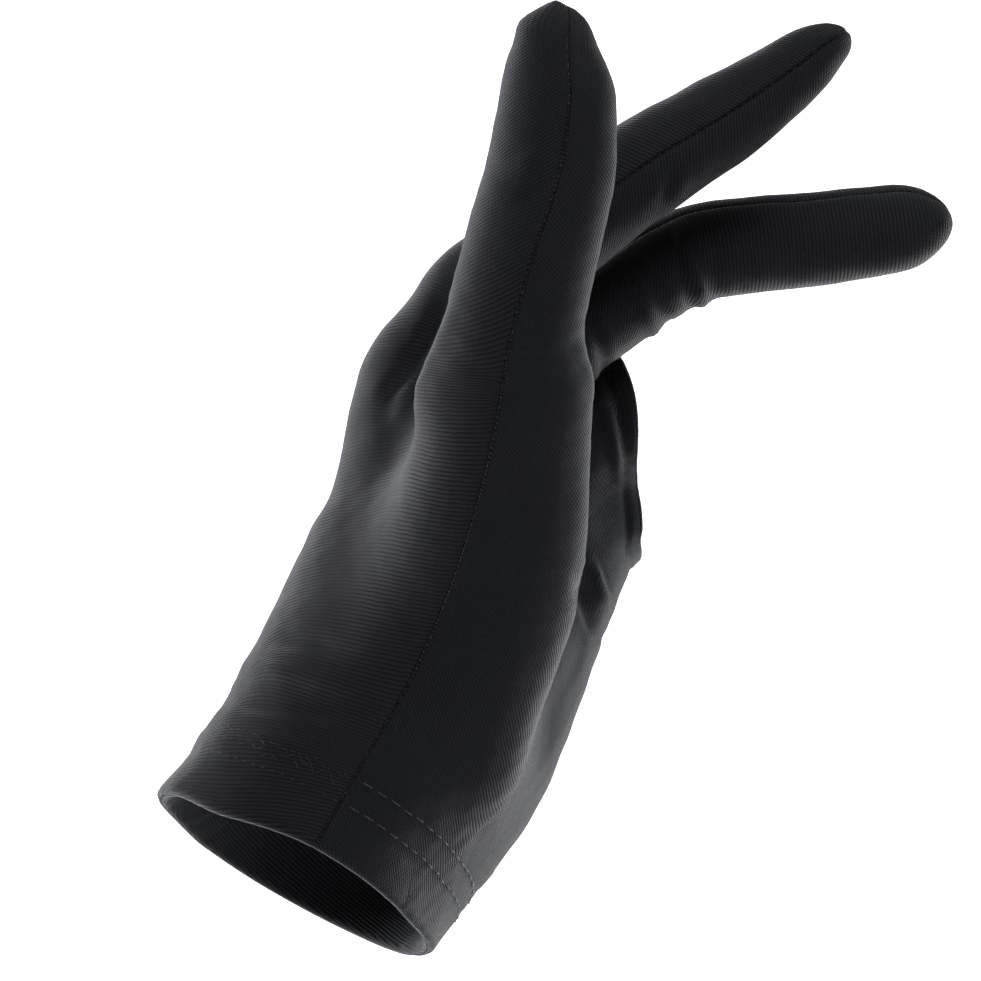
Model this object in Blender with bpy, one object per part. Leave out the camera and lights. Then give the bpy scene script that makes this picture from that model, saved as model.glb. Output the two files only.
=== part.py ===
"""Three-finger billiard glove for the left hand, in its worn shape.

The cloth is drawn over a form: one bent tube for each finger, the wrist, the
thumb's pad and the web, joined with soft edges. Two panels, back and palm,
meet along a seam round the outline. All lengths are metres, +Z is up.
"""
from collections import namedtuple

import bpy
import numpy as np

# Named sizes
FORM_LENGTH = 0.198          # wrist opening to the end of the middle finger, along the form
HAND_DEPTH = 0.024           # thickness of the hand at the knuckles
CLOTH = 0.0010               # knitted cloth wall
SEAM_GAP = 0.0003            # clear gap between the two panels at the seam
LAYER_GAP = 0.0003           # clear gap between a panel and the hem turned under it
CUFF_HEM_DEPTH = 0.018       # cloth turned up inside the wrist opening
OPENING_HEM_DEPTH = 0.007    # cloth turned in at the two-finger opening
CUFF_RISE = 61.5             # slope of the wrist opening's axis above the horizon, degrees
CUFF_SWING = 14.0            # turn of that axis away from the front, degrees

# How softly the tubes of the form run into each other, shares of HAND_DEPTH
SOFT_FINGERS = 0.25
SOFT_OPENING = 0.24
SOFT_EDGE = 0.58
SOFT_WRIST = 0.6
SOFT_PAD = 0.417
SOFT_WEB = 0.417
SOFT_PALM = 0.667

# Form tubes. start and length are shares of FORM_LENGTH, half_width, half_depth
# and cap are shares of HAND_DEPTH; rise, swing and roll are degrees.
Tube = namedtuple("Tube", "start cap bones")
Bone = namedtuple("Bone", "length rise swing half_width half_depth roll")

FORM = {
    "wrist": Tube((-0.036, -0.020, -0.049), 0.42, (
        Bone(0.000, 0, 0, 1.38, 1.06, 45),
        Bone(0.065, 55, 18, 1.35, 1.05, 45),
        Bone(0.134, 56, 13, 1.29, 1.00, 45),
        Bone(0.148, 66, 16, 1.12, 0.79, 45),
    )),
    "thumb": Tube((0.013, -0.086, 0.024), 0.60, (
        Bone(0.000, 0, 0, 0.38, 0.38, 0),
        Bone(0.094, 60, 9, 0.42, 0.42, 0),
        Bone(0.083, 60, -4, 0.46, 0.46, 0),
        Bone(0.091, 66, -6, 0.50, 0.52, 0),
        Bone(0.088, 72, -13, 0.50, 0.54, 0),
        Bone(0.088, 77, -20, 0.50, 0.56, 0),
        Bone(0.071, 80, -17, 0.50, 0.53, 0),
        Bone(0.089, 77, -16, 0.49, 0.50, -3),
        Bone(0.069, 76, -13, 0.46, 0.48, -8),
        Bone(0.071, 84, -8, 0.41, 0.43, -12),
    )),
    "thumb_pad": Tube((0.139, -0.040, 0.123), 0.42, (
        Bone(0.000, 0, 0, 0.42, 0.50, 10),
        Bone(0.140, 72, -12, 0.54, 0.62, 10),
        Bone(0.098, 79, -18, 0.50, 0.56, 5),
        Bone(0.088, 78, -20, 0.33, 0.38, 0),
    )),
    "web": Tube((0.116, -0.020, 0.252), 0.21, (
        Bone(0.000, 0, 0, 0.67, 0.42, 0),
        Bone(0.115, 77, -8, 0.75, 0.29, 0),
        Bone(0.074, 71, -4, 0.75, 0.21, 0),
    )),
    "heel_pad": Tube((0.072, 0.061, 0.012), 0.38, (
        Bone(0.000, 0, 0, 0.38, 0.38, 10),
        Bone(0.091, 43, 16, 0.50, 0.54, 15),
        Bone(0.151, 59, 28, 0.50, 0.54, 35),
        Bone(0.105, 59, 39, 0.38, 0.42, 45),
    )),
    "index": Tube((0.006, -0.045, 0.013), 0.44, (
        Bone(0.000, 0, 0, 0.33, 0.38, 0),
        Bone(0.153, 80, 17, 0.46, 0.50, 8),
        Bone(0.170, 72, 10, 0.46, 0.52, 10),
        Bone(0.194, 73, 10, 0.48, 0.52, 0),
        Bone(0.132, 44, 0, 0.42, 0.42, 0),
        Bone(0.109, 38, 0, 0.40, 0.40, 0),
        Bone(0.106, 32, 3, 0.36, 0.35, 0),
        Bone(0.078, 35, 2, 0.28, 0.27, 0),
    )),
    "middle": Tube((0.000, 0.000, 0.001), 0.48, (
        Bone(0.000, 0, 0, 0.33, 0.38, 0),
        Bone(0.144, 63, 18, 0.46, 0.50, 20),
        Bone(0.170, 72, 16, 0.46, 0.52, 40),
        Bone(0.190, 71, 17, 0.46, 0.54, 45),
        Bone(0.123, 36, 5, 0.42, 0.42, 50),
        Bone(0.115, 31, 5, 0.40, 0.40, 54),
        Bone(0.130, 8, 2, 0.38, 0.38, 54),
        Bone(0.070, 8, 2, 0.36, 0.37, 54),
    )),
    "ring": Tube((-0.007, 0.045, -0.012), 0.42, (
        Bone(0.000, 0, 0, 0.33, 0.38, 0),
        Bone(0.140, 52, 15, 0.46, 0.50, 25),
        Bone(0.156, 58, 21, 0.46, 0.50, 45),
        Bone(0.176, 64, 24, 0.46, 0.48, 50),
        Bone(0.126, 40, 9, 0.42, 0.40, 55),
        Bone(0.047, 32, 6, 0.42, 0.38, 55),
    )),
    "little": Tube((-0.014, 0.091, -0.025), 0.38, (
        Bone(0.000, 0, 0, 0.33, 0.38, 0),
        Bone(0.145, 47, 12, 0.46, 0.50, 15),
        Bone(0.160, 46, 22, 0.50, 0.50, 35),
        Bone(0.146, 56, 31, 0.44, 0.46, 48),
        Bone(0.085, 30, 10, 0.40, 0.38, 55),
        Bone(0.045, 24, 13, 0.38, 0.35, 55),
    )),
}

# Where a row of the cloth crosses each finger's tube: palm heel, web and knuckle
# rows. heel, web and edge are shares of FORM_LENGTH along the tube, the last two
# counted from the joint named in knuckle.
Level = namedtuple("Level", "heel knuckle web edge")
LEVELS = {
    "thumb": Level(0.148, 5, 0.030, None),
    "index": Level(0.152, 3, -0.038, None),
    "middle": Level(0.146, 3, -0.060, None),
    "ring": Level(0.142, 3, -0.066, 0.101),
    "little": Level(0.150, 3, -0.060, 0.063),
}

# Rows up the hand, as levels: 0 wrist edge, 1 palm heel, 2 web, 3 finger roots
HAND_ROWS = (0.8, 1.0, 1.2, 1.4, 1.55, 1.7, 1.82, 1.92, 2.0)
KNUCKLE_ROWS = (2.04, 2.12, 2.24, 2.4, 2.56, 2.68)
CUFF_HEM_ROWS = 3
OPENING_HEM_ROWS = 2
FINGER_ROWS = 11
SPREAD_PASSES = 12
TIP_ROWS = 4

# Columns of cloth: half a finger, and the two sides of each valley between fingers
FAN = 4
VALLEY = {("thumb", "index"): (4, 4), ("index", "middle"): (4, 4),
          ("middle", "ring"): (4, 3), ("ring", "little"): (2, 2)}

# Pieces of a panel, from the wrist up
PIECES = ("wrist", "hand", "knuckles", "thumb", "index", "middle")

BLACK_KNIT = ((0.018, 0.019, 0.021, 1.0), 0.82)


def unit(v):
    """Vectors scaled to length one."""
    return v / np.maximum(np.linalg.norm(v, axis=-1, keepdims=True), 1e-12)


def ease(low, high, x):
    """Smooth step from 0 at low to 1 at high."""
    t = np.clip((x - low) / (high - low), 0.0, 1.0)
    return t * t * (3.0 - 2.0 * t)


def heading(rise, swing):
    """Direction that rises above the horizon and swings away from the front."""
    r, s = np.radians(rise), np.radians(swing)
    return np.array([np.cos(r) * np.cos(s), np.sin(s), np.sin(r) * np.cos(s)])


class FormTube:
    """A bent tube with an oval section that changes along it."""

    SAMPLE = 0.0015

    def __init__(self, tube):
        points = [np.array(tube.start) * FORM_LENGTH]
        for bone in tube.bones[1:]:
            points.append(points[-1] + heading(bone.rise, bone.swing) * bone.length * FORM_LENGTH)
        rows = [[*p, b.half_width * HAND_DEPTH, b.half_depth * HAND_DEPTH, b.roll]
                for p, b in zip(points, tube.bones)]
        self.joints = np.concatenate([[0.0], np.cumsum([b.length for b in tube.bones[1:]])])
        self.joints *= FORM_LENGTH
        self.cap = tube.cap * HAND_DEPTH
        self._sample(np.array(rows))

    def _sample(self, knots):
        """Cubic curve through the joints, then the section's two directions."""
        gaps = np.diff(self.joints)
        slope = np.diff(knots, axis=0) / gaps[:, None]
        tangent = np.empty_like(knots)
        tangent[0], tangent[-1] = slope[0], slope[-1]
        before, after = gaps[:-1, None], gaps[1:, None]
        tangent[1:-1] = (slope[:-1] * after + slope[1:] * before) / (before + after)
        count = int(np.ceil(self.joints[-1] / self.SAMPLE)) + 1
        self.s = np.linspace(0.0, self.joints[-1], count)
        i = np.clip(np.searchsorted(self.joints, self.s, side="right") - 1, 0, len(gaps) - 1)
        h = gaps[i][:, None]
        u = (self.s - self.joints[i])[:, None] / h
        curve = ((2 * u ** 3 - 3 * u ** 2 + 1) * knots[i] + (u ** 3 - 2 * u ** 2 + u) * h * tangent[i]
                 + (3 * u ** 2 - 2 * u ** 3) * knots[i + 1] + (u ** 3 - u ** 2) * h * tangent[i + 1])
        self.centre, self.half_width, self.half_depth = curve[:, :3], curve[:, 3], curve[:, 4]
        self.along = unit(np.gradient(self.centre, axis=0))
        away = np.array([0.0, 1.0, 0.0])
        across = unit(away - (self.along @ away)[:, None] * self.along)
        roll = np.radians(curve[:, 5])[:, None]
        self.across = np.cos(roll) * across + np.sin(roll) * np.cross(across, self.along)
        self.palmward = np.cross(self.across, self.along)

    def at(self, s):
        """Centre, along, across, palmward, half width and half depth at stations."""
        def pick(values):
            return np.stack([np.interp(s, self.s, column) for column in values.T], -1)
        return (pick(self.centre), unit(pick(self.along)), unit(pick(self.across)),
                unit(pick(self.palmward)), np.interp(s, self.s, self.half_width),
                np.interp(s, self.s, self.half_depth))

    def distance(self, points):
        """How far outside the tube each point is, negative inside."""
        near = ((points[:, None, :] - self.centre[None]) ** 2).sum(-1).argmin(1)
        s = self.s[near] + ((points - self.centre[near]) * self.along[near]).sum(1)
        f = np.clip(s, 0.0, self.s[-1]) / (self.s[1] - self.s[0])
        i = np.clip(f.astype(int), 0, len(self.s) - 2)
        a = (f - i)[:, None]
        along = unit(self.along[i] * (1 - a) + self.along[i + 1] * a)
        across = unit(self.across[i] * (1 - a) + self.across[i + 1] * a)
        palmward = np.cross(across, along)
        a1 = a[:, 0]
        w = self.half_width[i] * (1 - a1) + self.half_width[i + 1] * a1
        h = self.half_depth[i] * (1 - a1) + self.half_depth[i + 1] * a1
        p = points - self.centre[i] * (1 - a) - self.centre[i + 1] * a
        pw, ph = (p * across).sum(1), (p * palmward).sum(1)
        past_end = (s < 0.0) | (s > self.s[-1])
        pl = np.where(past_end, (p * along).sum(1), 0.0)
        cap = np.where(pl > 0.0, self.cap, np.minimum(w, h))
        reach = np.sqrt((pw / w) ** 2 + (ph / h) ** 2 + (pl / cap) ** 2)
        r = np.sqrt(pw ** 2 + ph ** 2 + pl ** 2)
        return np.where(r < 5e-5, -np.minimum(w, h), r - r / np.maximum(reach, 1e-6))


def soft_join(a, b, softness):
    """Smallest of two distances with a rounded valley between them."""
    k = softness * HAND_DEPTH
    close = np.maximum(k - np.abs(a - b), 0.0) / k
    return np.minimum(a, b) - close * close * k * 0.25


class Form:
    """The whole form under the cloth."""

    CHUNK = 6000

    def __init__(self):
        self.tubes = {name: FormTube(tube) for name, tube in FORM.items()}
        self.cuff_axis = heading(CUFF_RISE, CUFF_SWING)
        self.levels = {}
        for name, level in LEVELS.items():
            knuckle = self.tubes[name].joints[level.knuckle]
            self.levels[name] = [0.0, level.heel * FORM_LENGTH, knuckle + level.web * FORM_LENGTH]
        self._find_valleys()

    def distance(self, points):
        """How far outside the form each point is, negative inside."""
        if len(points) > self.CHUNK:
            parts = [self.distance(points[i:i + self.CHUNK])
                     for i in range(0, len(points), self.CHUNK)]
            return np.concatenate(parts)
        d = {name: tube.distance(points) for name, tube in self.tubes.items()}
        hand = soft_join(d["index"], d["middle"], SOFT_FINGERS)
        hand = soft_join(hand, d["ring"], SOFT_OPENING)
        hand = soft_join(hand, d["little"], SOFT_EDGE)
        hand = soft_join(hand, d["heel_pad"], SOFT_PAD)
        hand = soft_join(hand, d["wrist"], SOFT_WRIST)
        thumb = soft_join(d["thumb"], d["thumb_pad"], SOFT_PAD)
        return soft_join(hand, soft_join(thumb, d["web"], SOFT_WEB), SOFT_PALM)

    def slope(self, points):
        """How the distance grows in each direction at each point."""
        h = 2e-4
        steps = [self.distance(points + h * e) - self.distance(points - h * e) for e in np.eye(3)]
        return np.stack(steps, 1) / (2 * h)

    def outward(self, points):
        """Unit normal of the form at each point."""
        return unit(self.slope(points))

    def settle(self, points):
        """Points moved on to the surface of the form."""
        slope = self.slope(points)
        return points - slope * (self.distance(points) / (slope ** 2).sum(1))[:, None]

    def cast(self, starts, directions):
        """Surface points met from inside the form, the start where it lies outside."""
        r = np.full(len(starts), 3e-3)
        for _ in range(24):
            r = np.maximum(r - 0.95 * self.distance(starts + directions * r[:, None]), 0.0)
        r[self.distance(starts) > 0.0] = 0.0
        return starts + directions * r[:, None]

    def _middle(self, pair, stations):
        """Point half way between two tubes and the mean of their palmward directions."""
        first, second = (self.tubes[name].at(s) for name, s in zip(pair, stations))
        return (first[0] + second[0]) / 2, unit(first[3] + second[3])

    def _find_valleys(self):
        """Slide along each pair of fingers to where the form parts between them."""
        self.valleys, self.partings = {}, {}
        offsets = np.linspace(-0.25, 0.25, 21) * HAND_DEPTH
        for pair, level in ((("thumb", "index"), 2), (("index", "middle"), 3),
                            (("middle", "ring"), 3)):
            start = np.array([self.levels[n][2] if level == 2
                              else self.tubes[n].joints[LEVELS[n].knuckle] for n in pair])
            low, high = -0.04 * FORM_LENGTH, 0.19 * FORM_LENGTH
            for _ in range(24):
                slide = (low + high) / 2
                middle, palmward = self._middle(pair, start + slide)
                parted = self.distance(middle + offsets[:, None] * palmward)
                if parted.min() > 1e-4:
                    high, self.partings[pair] = slide, offsets[parted.argmin()]
                else:
                    low = slide
            self.valleys[pair] = tuple(start + high)
        thumb, index = self.valleys["thumb", "index"]
        self.levels["thumb"][2], self.levels["index"][2] = thumb, index
        self.levels["index"].append(self.valleys["index", "middle"][0])
        self.levels["middle"].append((self.valleys["index", "middle"][1]
                                      + self.valleys["middle", "ring"][0]) / 2)
        for name in ("ring", "little"):
            knuckle = self.tubes[name].joints[LEVELS[name].knuckle]
            self.levels[name].append(knuckle + LEVELS[name].edge * FORM_LENGTH)

    def cuff_hem_levels(self):
        """Levels of the rows that lie over the wrist hem, edge first."""
        depth = CUFF_HEM_DEPTH / self.levels["middle"][1]
        return tuple(np.linspace(0.0, depth, CUFF_HEM_ROWS + 1))

    def opening_hem_levels(self):
        """Levels of the rows that lie over the opening's hem, edge last."""
        depth = OPENING_HEM_DEPTH / (self.levels["ring"][3] - self.levels["ring"][2])
        return tuple(np.linspace(3.0 - depth, 3.0, OPENING_HEM_ROWS + 1))

    def station(self, name, level):
        """Length along a finger's tube at a level of the cloth."""
        marks = self.levels[name]
        return float(np.interp(level, range(len(marks)), marks))

    def roots(self, name):
        """Where a finger leaves the hand, on its thumb side and on its far side."""
        near = far = self.levels[name][-1]
        for pair, stations in self.valleys.items():
            if pair[1] == name and len(self.levels[name]) == len(self.levels[pair[0]]):
                near = stations[1]
            if pair[0] == name:
                far = stations[0]
        return near, far

    def valleys_beside(self, name):
        """Parting points beside a finger, with -1 for its thumb side and 1 for its far side."""
        for pair in self.valleys:
            if name in pair:
                yield 1 if pair[0] == name else -1, self.middle(pair, 2 if "thumb" in pair else 3)

    def middle(self, pair, level):
        """Point half way between two neighbouring tubes at a level."""
        stations = [self.station(name, level) for name in pair]
        blend = 0.0
        if pair in self.valleys:
            top = 2 if "thumb" in pair else 3
            blend = ease(top - 1, top, level)
            stations = [s + (goal - self.station(name, top)) * blend
                        for s, goal, name in zip(stations, self.valleys[pair], pair)]
        middle, palmward = self._middle(pair, stations)
        return middle + palmward * self.partings.get(pair, 0.0) * blend


class Panel:
    """One cloth panel: side is -1 for the back of the hand, +1 for the palm."""

    def __init__(self, form, side):
        self.form, self.side = form, side

    def fan(self, name, stations, shares, turn=0.0):
        """Rays round a finger; shares of -1 and 1 are its thumb-side and far seams.

        turn is how far those two seams still face the valleys beside the finger.
        """
        shares = np.asarray(shares)
        centre, along, across, palmward, w, h = self.form.tubes[name].at(
            np.broadcast_to(stations, shares.shape))
        for hand, valley in self.form.valleys_beside(name):
            toward = hand * (valley - centre)
            toward = unit(toward - (toward * along).sum(1)[:, None] * along)
            share = (turn * (shares * hand > 0))[:, None]
            across = unit(across + (toward - across) * share)
        angle = shares * np.pi / 2
        out = (w * np.sin(angle))[:, None] * across
        up = (self.side * h * np.cos(angle))[:, None] * palmward
        return centre, unit(out + up)

    def bridge(self, pair, level):
        """Rays over the valley between two neighbouring fingers."""
        parting = {("thumb", "index"): ease(1.0, 2.0, level), ("ring", "little"): 0.0}
        part = parting.get(pair, ease(2.2, 3.0, level))
        middle = self.form.middle(pair, level)
        starts, turns = [], []
        for name, count in zip(pair, VALLEY[pair]):
            centre = self.form.tubes[name].at(self.form.station(name, level))[0]
            share = np.arange(count + 1) / count
            share = (1 - part) * share + part * np.sin(share * np.pi / 2)
            starts.append(centre + (middle - centre) * share[:, None])
            turns.append(share[:, None] / 2)
        first, second = (self.form.tubes[n].at(self.form.station(n, level))[3] for n in pair)
        start = np.concatenate([starts[0], starts[1][::-1][1:]])
        turn = np.concatenate([turns[0], 1 - turns[1][::-1][1:]])
        return start, self.side * unit(first * (1 - turn) + second * turn)

    def row(self, level, fingers):
        """Surface points of one row of cloth, thumb side first."""
        first, last = fingers[0], fingers[-1]
        turn = 0.0 if first == "thumb" else 1.0 - ease(2.0, 2.6, level)
        parts = [self.fan(first, self.form.station(first, level), np.arange(-FAN, 0) / FAN, turn)]
        for pair in zip(fingers, fingers[1:]):
            start, rays = self.bridge(pair, level)
            parts.append((start[:-1], rays[:-1]))
        parts.append(self.fan(last, self.form.station(last, level), np.arange(FAN + 1) / FAN))
        starts = np.concatenate([p[0] for p in parts])
        rays = np.concatenate([p[1] for p in parts])
        axis = self.form.cuff_axis
        flat = 1.0 - ease(0.0, 0.9, level)
        rays = unit(rays - flat * (rays @ axis)[:, None] * axis)
        return self.form.cast(starts, rays)

    def finger(self, name, first_row):
        """Rows of cloth from a finger's root to its tip."""
        tube = self.form.tubes[name]
        shares = np.arange(-FAN, FAN + 1) / FAN
        near, far = self.form.roots(name)
        root = near + (far - near) * (shares + 1) / 2
        rows = [first_row]
        for step in np.arange(1, FINGER_ROWS + 1) / FINGER_ROWS:
            reach = 0.55 * step + 0.45 * step ** 1.6
            turn = 1.0 - ease(0.0, 0.4, reach)
            starts, rays = self.fan(name, root + (tube.s[-1] - root) * reach, shares,
                                    np.where(shares < 0, turn * (name == "middle"), turn))
            rows.append(self.form.cast(starts, rays))
        centre, along, across, palmward, w, h = tube.at(tube.s[-1])
        angle = shares[:, None] * np.pi / 2
        ring = w * np.sin(angle) * across + self.side * h * np.cos(angle) * palmward
        for i in range(1, TIP_ROWS + 1):
            lean = i / TIP_ROWS * np.pi / 2
            rays = unit(np.cos(lean) * ring + np.sin(lean) * tube.cap * along)
            rows.append(self.form.cast(np.repeat(centre[None], len(rays), 0), rays))
        rows[-1][:] = rows[-1][0]
        return np.array(rows)

    def patches(self):
        """Grids of outer surface points, one for each piece."""
        fingers = ("thumb", "index", "middle", "ring", "little")
        cuff = self.form.cuff_hem_levels()
        above = tuple(v for v in HAND_ROWS if v > cuff[-1] + 0.05)
        hand = np.array([self.row(v, fingers) for v in cuff + above])
        heel = len(cuff) + int(np.abs(np.array(above) - 1.0).argmin())
        web = FAN + VALLEY["thumb", "index"][0]
        rim = self.form.opening_hem_levels()
        below = tuple(v for v in KNUCKLE_ROWS if v < rim[0] - 0.03)
        knuckles = np.array([hand[-1][web:]]
                            + [self.row(v, fingers[1:]) for v in below + rim])
        root = FAN + VALLEY["index", "middle"][0]
        gap = root + VALLEY["index", "middle"][1] + VALLEY["middle", "ring"][0]
        return {
            "wrist": hand[:heel + 1],
            "hand": hand[heel:],
            "knuckles": knuckles,
            "thumb": self.finger("thumb", hand[-1][:web + 1]),
            "index": self.finger("index", knuckles[-1][:root + 1]),
            "middle": self.finger("middle", knuckles[-1][root:gap + 1]),
        }


def turned(face):
    """The same face seen from its other side, starting at the same corner."""
    return [face[0], *face[:0:-1]]


class Sheet:
    """Points and faces of one layer of cloth, grids welded where they share points."""

    def __init__(self):
        self.points, self.faces, self.patches, self.numbers = [], [], [], {}

    def number(self, point):
        """Number of a point, added once."""
        key = tuple(np.round(point * 1e6).astype(int))
        if key not in self.numbers:
            self.numbers[key] = len(self.points)
            self.points.append(point)
        return self.numbers[key]

    def add_grid(self, grid, patch=""):
        """Add a grid of points as four-sided faces, three-sided at a tip."""
        ids = [[self.number(p) for p in row] for row in grid]
        for low, high in zip(ids, ids[1:]):
            for a, b, c, d in zip(low, low[1:], high[1:], high):
                corners = list(dict.fromkeys((a, b, c, d)))
                if len(corners) > 2:
                    self.faces.append(corners)
                    self.patches.append(patch)

    def part(self, wanted):
        """The faces of one patch as a sheet of their own, and its points' numbers here."""
        faces = [face for face, patch in zip(self.faces, self.patches) if patch == wanted]
        kept = sorted({n for face in faces for n in face})
        new = {old: n for n, old in enumerate(kept)}
        piece = Sheet()
        piece.points = [self.points[n] for n in kept]
        piece.faces = [[new[n] for n in face] for face in faces]
        return piece, kept

    def face_outward(self, normals):
        """Turn every face so that its right-hand side looks out."""
        points, total = np.array(self.points), 0.0
        for face in self.faces:
            a, b, c = points[face[0]], points[face[1]], points[face[2]]
            total += np.cross(b - a, c - b) @ normals[face[0]]
        if total < 0:
            self.faces = [turned(face) for face in self.faces]

    def edges(self):
        """Every face edge as a pair of point numbers, in face order."""
        return [(a, b) for face in self.faces for a, b in zip(face, face[1:] + face[:1])]

    def neighbours(self):
        """Numbers of the points joined to each point."""
        joined = [set() for _ in self.points]
        for a, b in self.edges():
            joined[a].add(b)
            joined[b].add(a)
        return [sorted(numbers) for numbers in joined]


def spread(form, sheet, pinned):
    """Even out the points that aren't beside a pinned one, keeping them on the form."""
    joined = sheet.neighbours()
    free = [n for n, near in enumerate(joined) if n not in pinned and not pinned & set(near)]
    points = np.array(sheet.points)
    for _ in range(SPREAD_PASSES):
        middles = np.array([points[joined[n]].mean(0) for n in free])
        points[free] = form.settle((points[free] + middles) / 2)
    sheet.points = list(points)


def open_seam(sheet, seam):
    """Draw the seam's points back into their piece by half the seam gap."""
    points = np.array(sheet.points)
    pulls = {number: [] for number in seam}
    for face in sheet.faces:
        for number in seam.intersection(face):
            pulls[number].append(unit(points[face].mean(0) - points[number]))
    for number, pull in pulls.items():
        corner = 2 ** 0.5 if len(pull) == 1 else 1.0
        points[number] += unit(np.mean(pull, 0)) * corner * SEAM_GAP / 2
    return points


def wall(a, b, count):
    """Two triangles from an outer edge to its inner one, parted alike in the next piece."""
    if a < b:
        return [(a, a + count, b + count), (a, b + count, b)]
    return [(b, a, a + count), (b, a + count, b + count)]


def make_cloth(name, sheet, outer, inner, finish):
    """A closed solid between an outer and an inner layer of points."""
    count = len(outer)
    edges = sheet.edges()
    directed = set(edges)
    faces = [tuple(face) for face in sheet.faces]
    faces += [tuple(n + count for n in turned(face)) for face in sheet.faces]
    for a, b in edges:
        if (b, a) not in directed:
            faces += wall(a, b, count)
    mesh = bpy.data.meshes.new(name)
    mesh.from_pydata(np.concatenate([outer, inner]).tolist(), [], faces)
    mesh.validate()
    mesh.materials.append(finish)
    piece = bpy.data.objects.new(name, mesh)
    bpy.context.scene.collection.objects.link(piece)
    return piece


def make_finish(name, colour, roughness):
    """A plain material of its own for one piece."""
    finish = bpy.data.materials.new(name)
    finish.use_nodes = True
    shader = finish.node_tree.nodes["Principled BSDF"]
    shader.inputs["Base Color"].default_value = colour
    shader.inputs["Roughness"].default_value = roughness
    return finish


def build_panel(name, form, side):
    """One panel of the glove in its pieces; returns its grids for the hems."""
    grids = Panel(form, side).patches()
    sheet = Sheet()
    for patch, grid in grids.items():
        sheet.add_grid(grid, patch)
    seam = {sheet.number(p) for grid in grids.values() for p in (*grid[:, 0], *grid[:, -1])}
    roots = {sheet.number(p) for piece in PIECES[1:] for p in grids[piece][0]}
    hemmed = (*grids["wrist"][:CUFF_HEM_ROWS + 1], *grids["knuckles"][-OPENING_HEM_ROWS - 1:])
    spread(form, sheet, seam | {sheet.number(p) for row in hemmed for p in row})
    normals = form.outward(np.array(sheet.points))
    sheet.face_outward(normals)
    for part in PIECES:
        piece, kept = sheet.part(part)
        cut = {n for n, old in enumerate(kept) if old in seam | roots}
        outer = open_seam(piece, cut)
        title = f"{name}_{part}"
        make_cloth(title, piece, outer, outer - CLOTH * normals[kept], make_finish(title, *BLACK_KNIT))
    return grids


def build_hem(name, form, grid, closed):
    """A band of cloth turned in behind the rows of a grid."""
    sheet = Sheet()
    if closed:
        grid = np.concatenate([grid, grid[:, :1]], 1)
    sheet.add_grid(grid)
    points = np.array(sheet.points)
    normals = form.outward(points)
    sheet.face_outward(normals)
    outer = points - (CLOTH + LAYER_GAP) * normals
    make_cloth(name, sheet, outer, outer - CLOTH * normals, make_finish(name, *BLACK_KNIT))


def build_glove():
    """Both panels and the two hems."""
    form = Form()
    back = build_panel("back_panel", form, -1)
    palm = build_panel("palm_panel", form, 1)
    rows = CUFF_HEM_ROWS + 1
    cuff = np.concatenate([back["wrist"][:rows], palm["wrist"][:rows, -2:0:-1]], 1)
    build_hem("cuff_hem", form, cuff, True)
    root = FAN + sum(VALLEY["index", "middle"]) + VALLEY["middle", "ring"][0] + 1
    rows = OPENING_HEM_ROWS + 1
    rim = np.concatenate([back["knuckles"][-rows:, root:],
                          palm["knuckles"][-rows:, -2:root - 1:-1]], 1)
    build_hem("opening_hem", form, rim, False)


for leftover in list(bpy.data.objects):
    bpy.data.objects.remove(leftover, do_unlink=True)
build_glove()
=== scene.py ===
"""Looks of the three-finger billiard glove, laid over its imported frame.

The cloth is drawn over the same form as the solids, finer, then folded, grooved
along its seam, hemmed and stitched. Lengths are metres and angles degrees, +Z is up.
"""
import logging
import math
from dataclasses import dataclass, field
from enum import Enum
from typing import Iterable, Iterator, Optional, Sequence

import bpy
import numpy as np
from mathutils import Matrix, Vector
from mathutils.bvhtree import BVHTree
from mathutils.kdtree import KDTree


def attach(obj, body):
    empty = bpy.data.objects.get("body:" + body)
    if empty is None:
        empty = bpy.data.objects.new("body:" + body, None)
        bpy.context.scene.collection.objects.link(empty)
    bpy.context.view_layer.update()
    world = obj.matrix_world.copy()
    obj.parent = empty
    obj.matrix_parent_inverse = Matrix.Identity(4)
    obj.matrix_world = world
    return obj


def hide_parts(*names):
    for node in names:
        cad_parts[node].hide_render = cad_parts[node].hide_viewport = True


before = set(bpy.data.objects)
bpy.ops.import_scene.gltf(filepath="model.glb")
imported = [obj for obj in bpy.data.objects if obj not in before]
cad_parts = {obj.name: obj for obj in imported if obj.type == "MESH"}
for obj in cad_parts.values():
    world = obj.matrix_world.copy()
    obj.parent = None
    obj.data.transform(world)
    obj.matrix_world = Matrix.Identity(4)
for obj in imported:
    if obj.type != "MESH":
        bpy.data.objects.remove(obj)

log = logging.getLogger("billiard_glove")

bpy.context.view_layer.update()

FORM_LENGTH = 0.198
HAND_DEPTH = 0.024
CUFF_RISE = 61.5
CUFF_SWING = 14.0
CUFF_HEM_DEPTH = 0.018
CUFF_ROWS = (0.0082, 0.0132)
CUFF_LOOP_ROWS = (0.0108, 0.0124)
CUFF_DOT_ROW = 0.0080
OPENING_HEM_DEPTH = 0.007
OPENING_ROW = 0.0030
SEAM_REACH = 0.002
VIEWPOINT = np.array([0.035, -0.750, 0.070])
MM = 0.001


class Side(Enum):
    """The two cloth panels, and which way each looks from the hand."""

    BACK = -1
    PALM = 1


class Role(Enum):
    """The pieces of the glove, named as the frame's nodes."""

    BACK_PANEL = "back_panel"
    PALM_PANEL = "palm_panel"
    CUFF_HEM = "cuff_hem"
    OPENING_HEM = "opening_hem"


@dataclass(frozen=True)
class Bone:
    """One stretch of a form tube: length and oval are shares, angles are degrees."""

    length: float
    rise: float
    swing: float
    half_width: float
    half_depth: float
    roll: float


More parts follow.
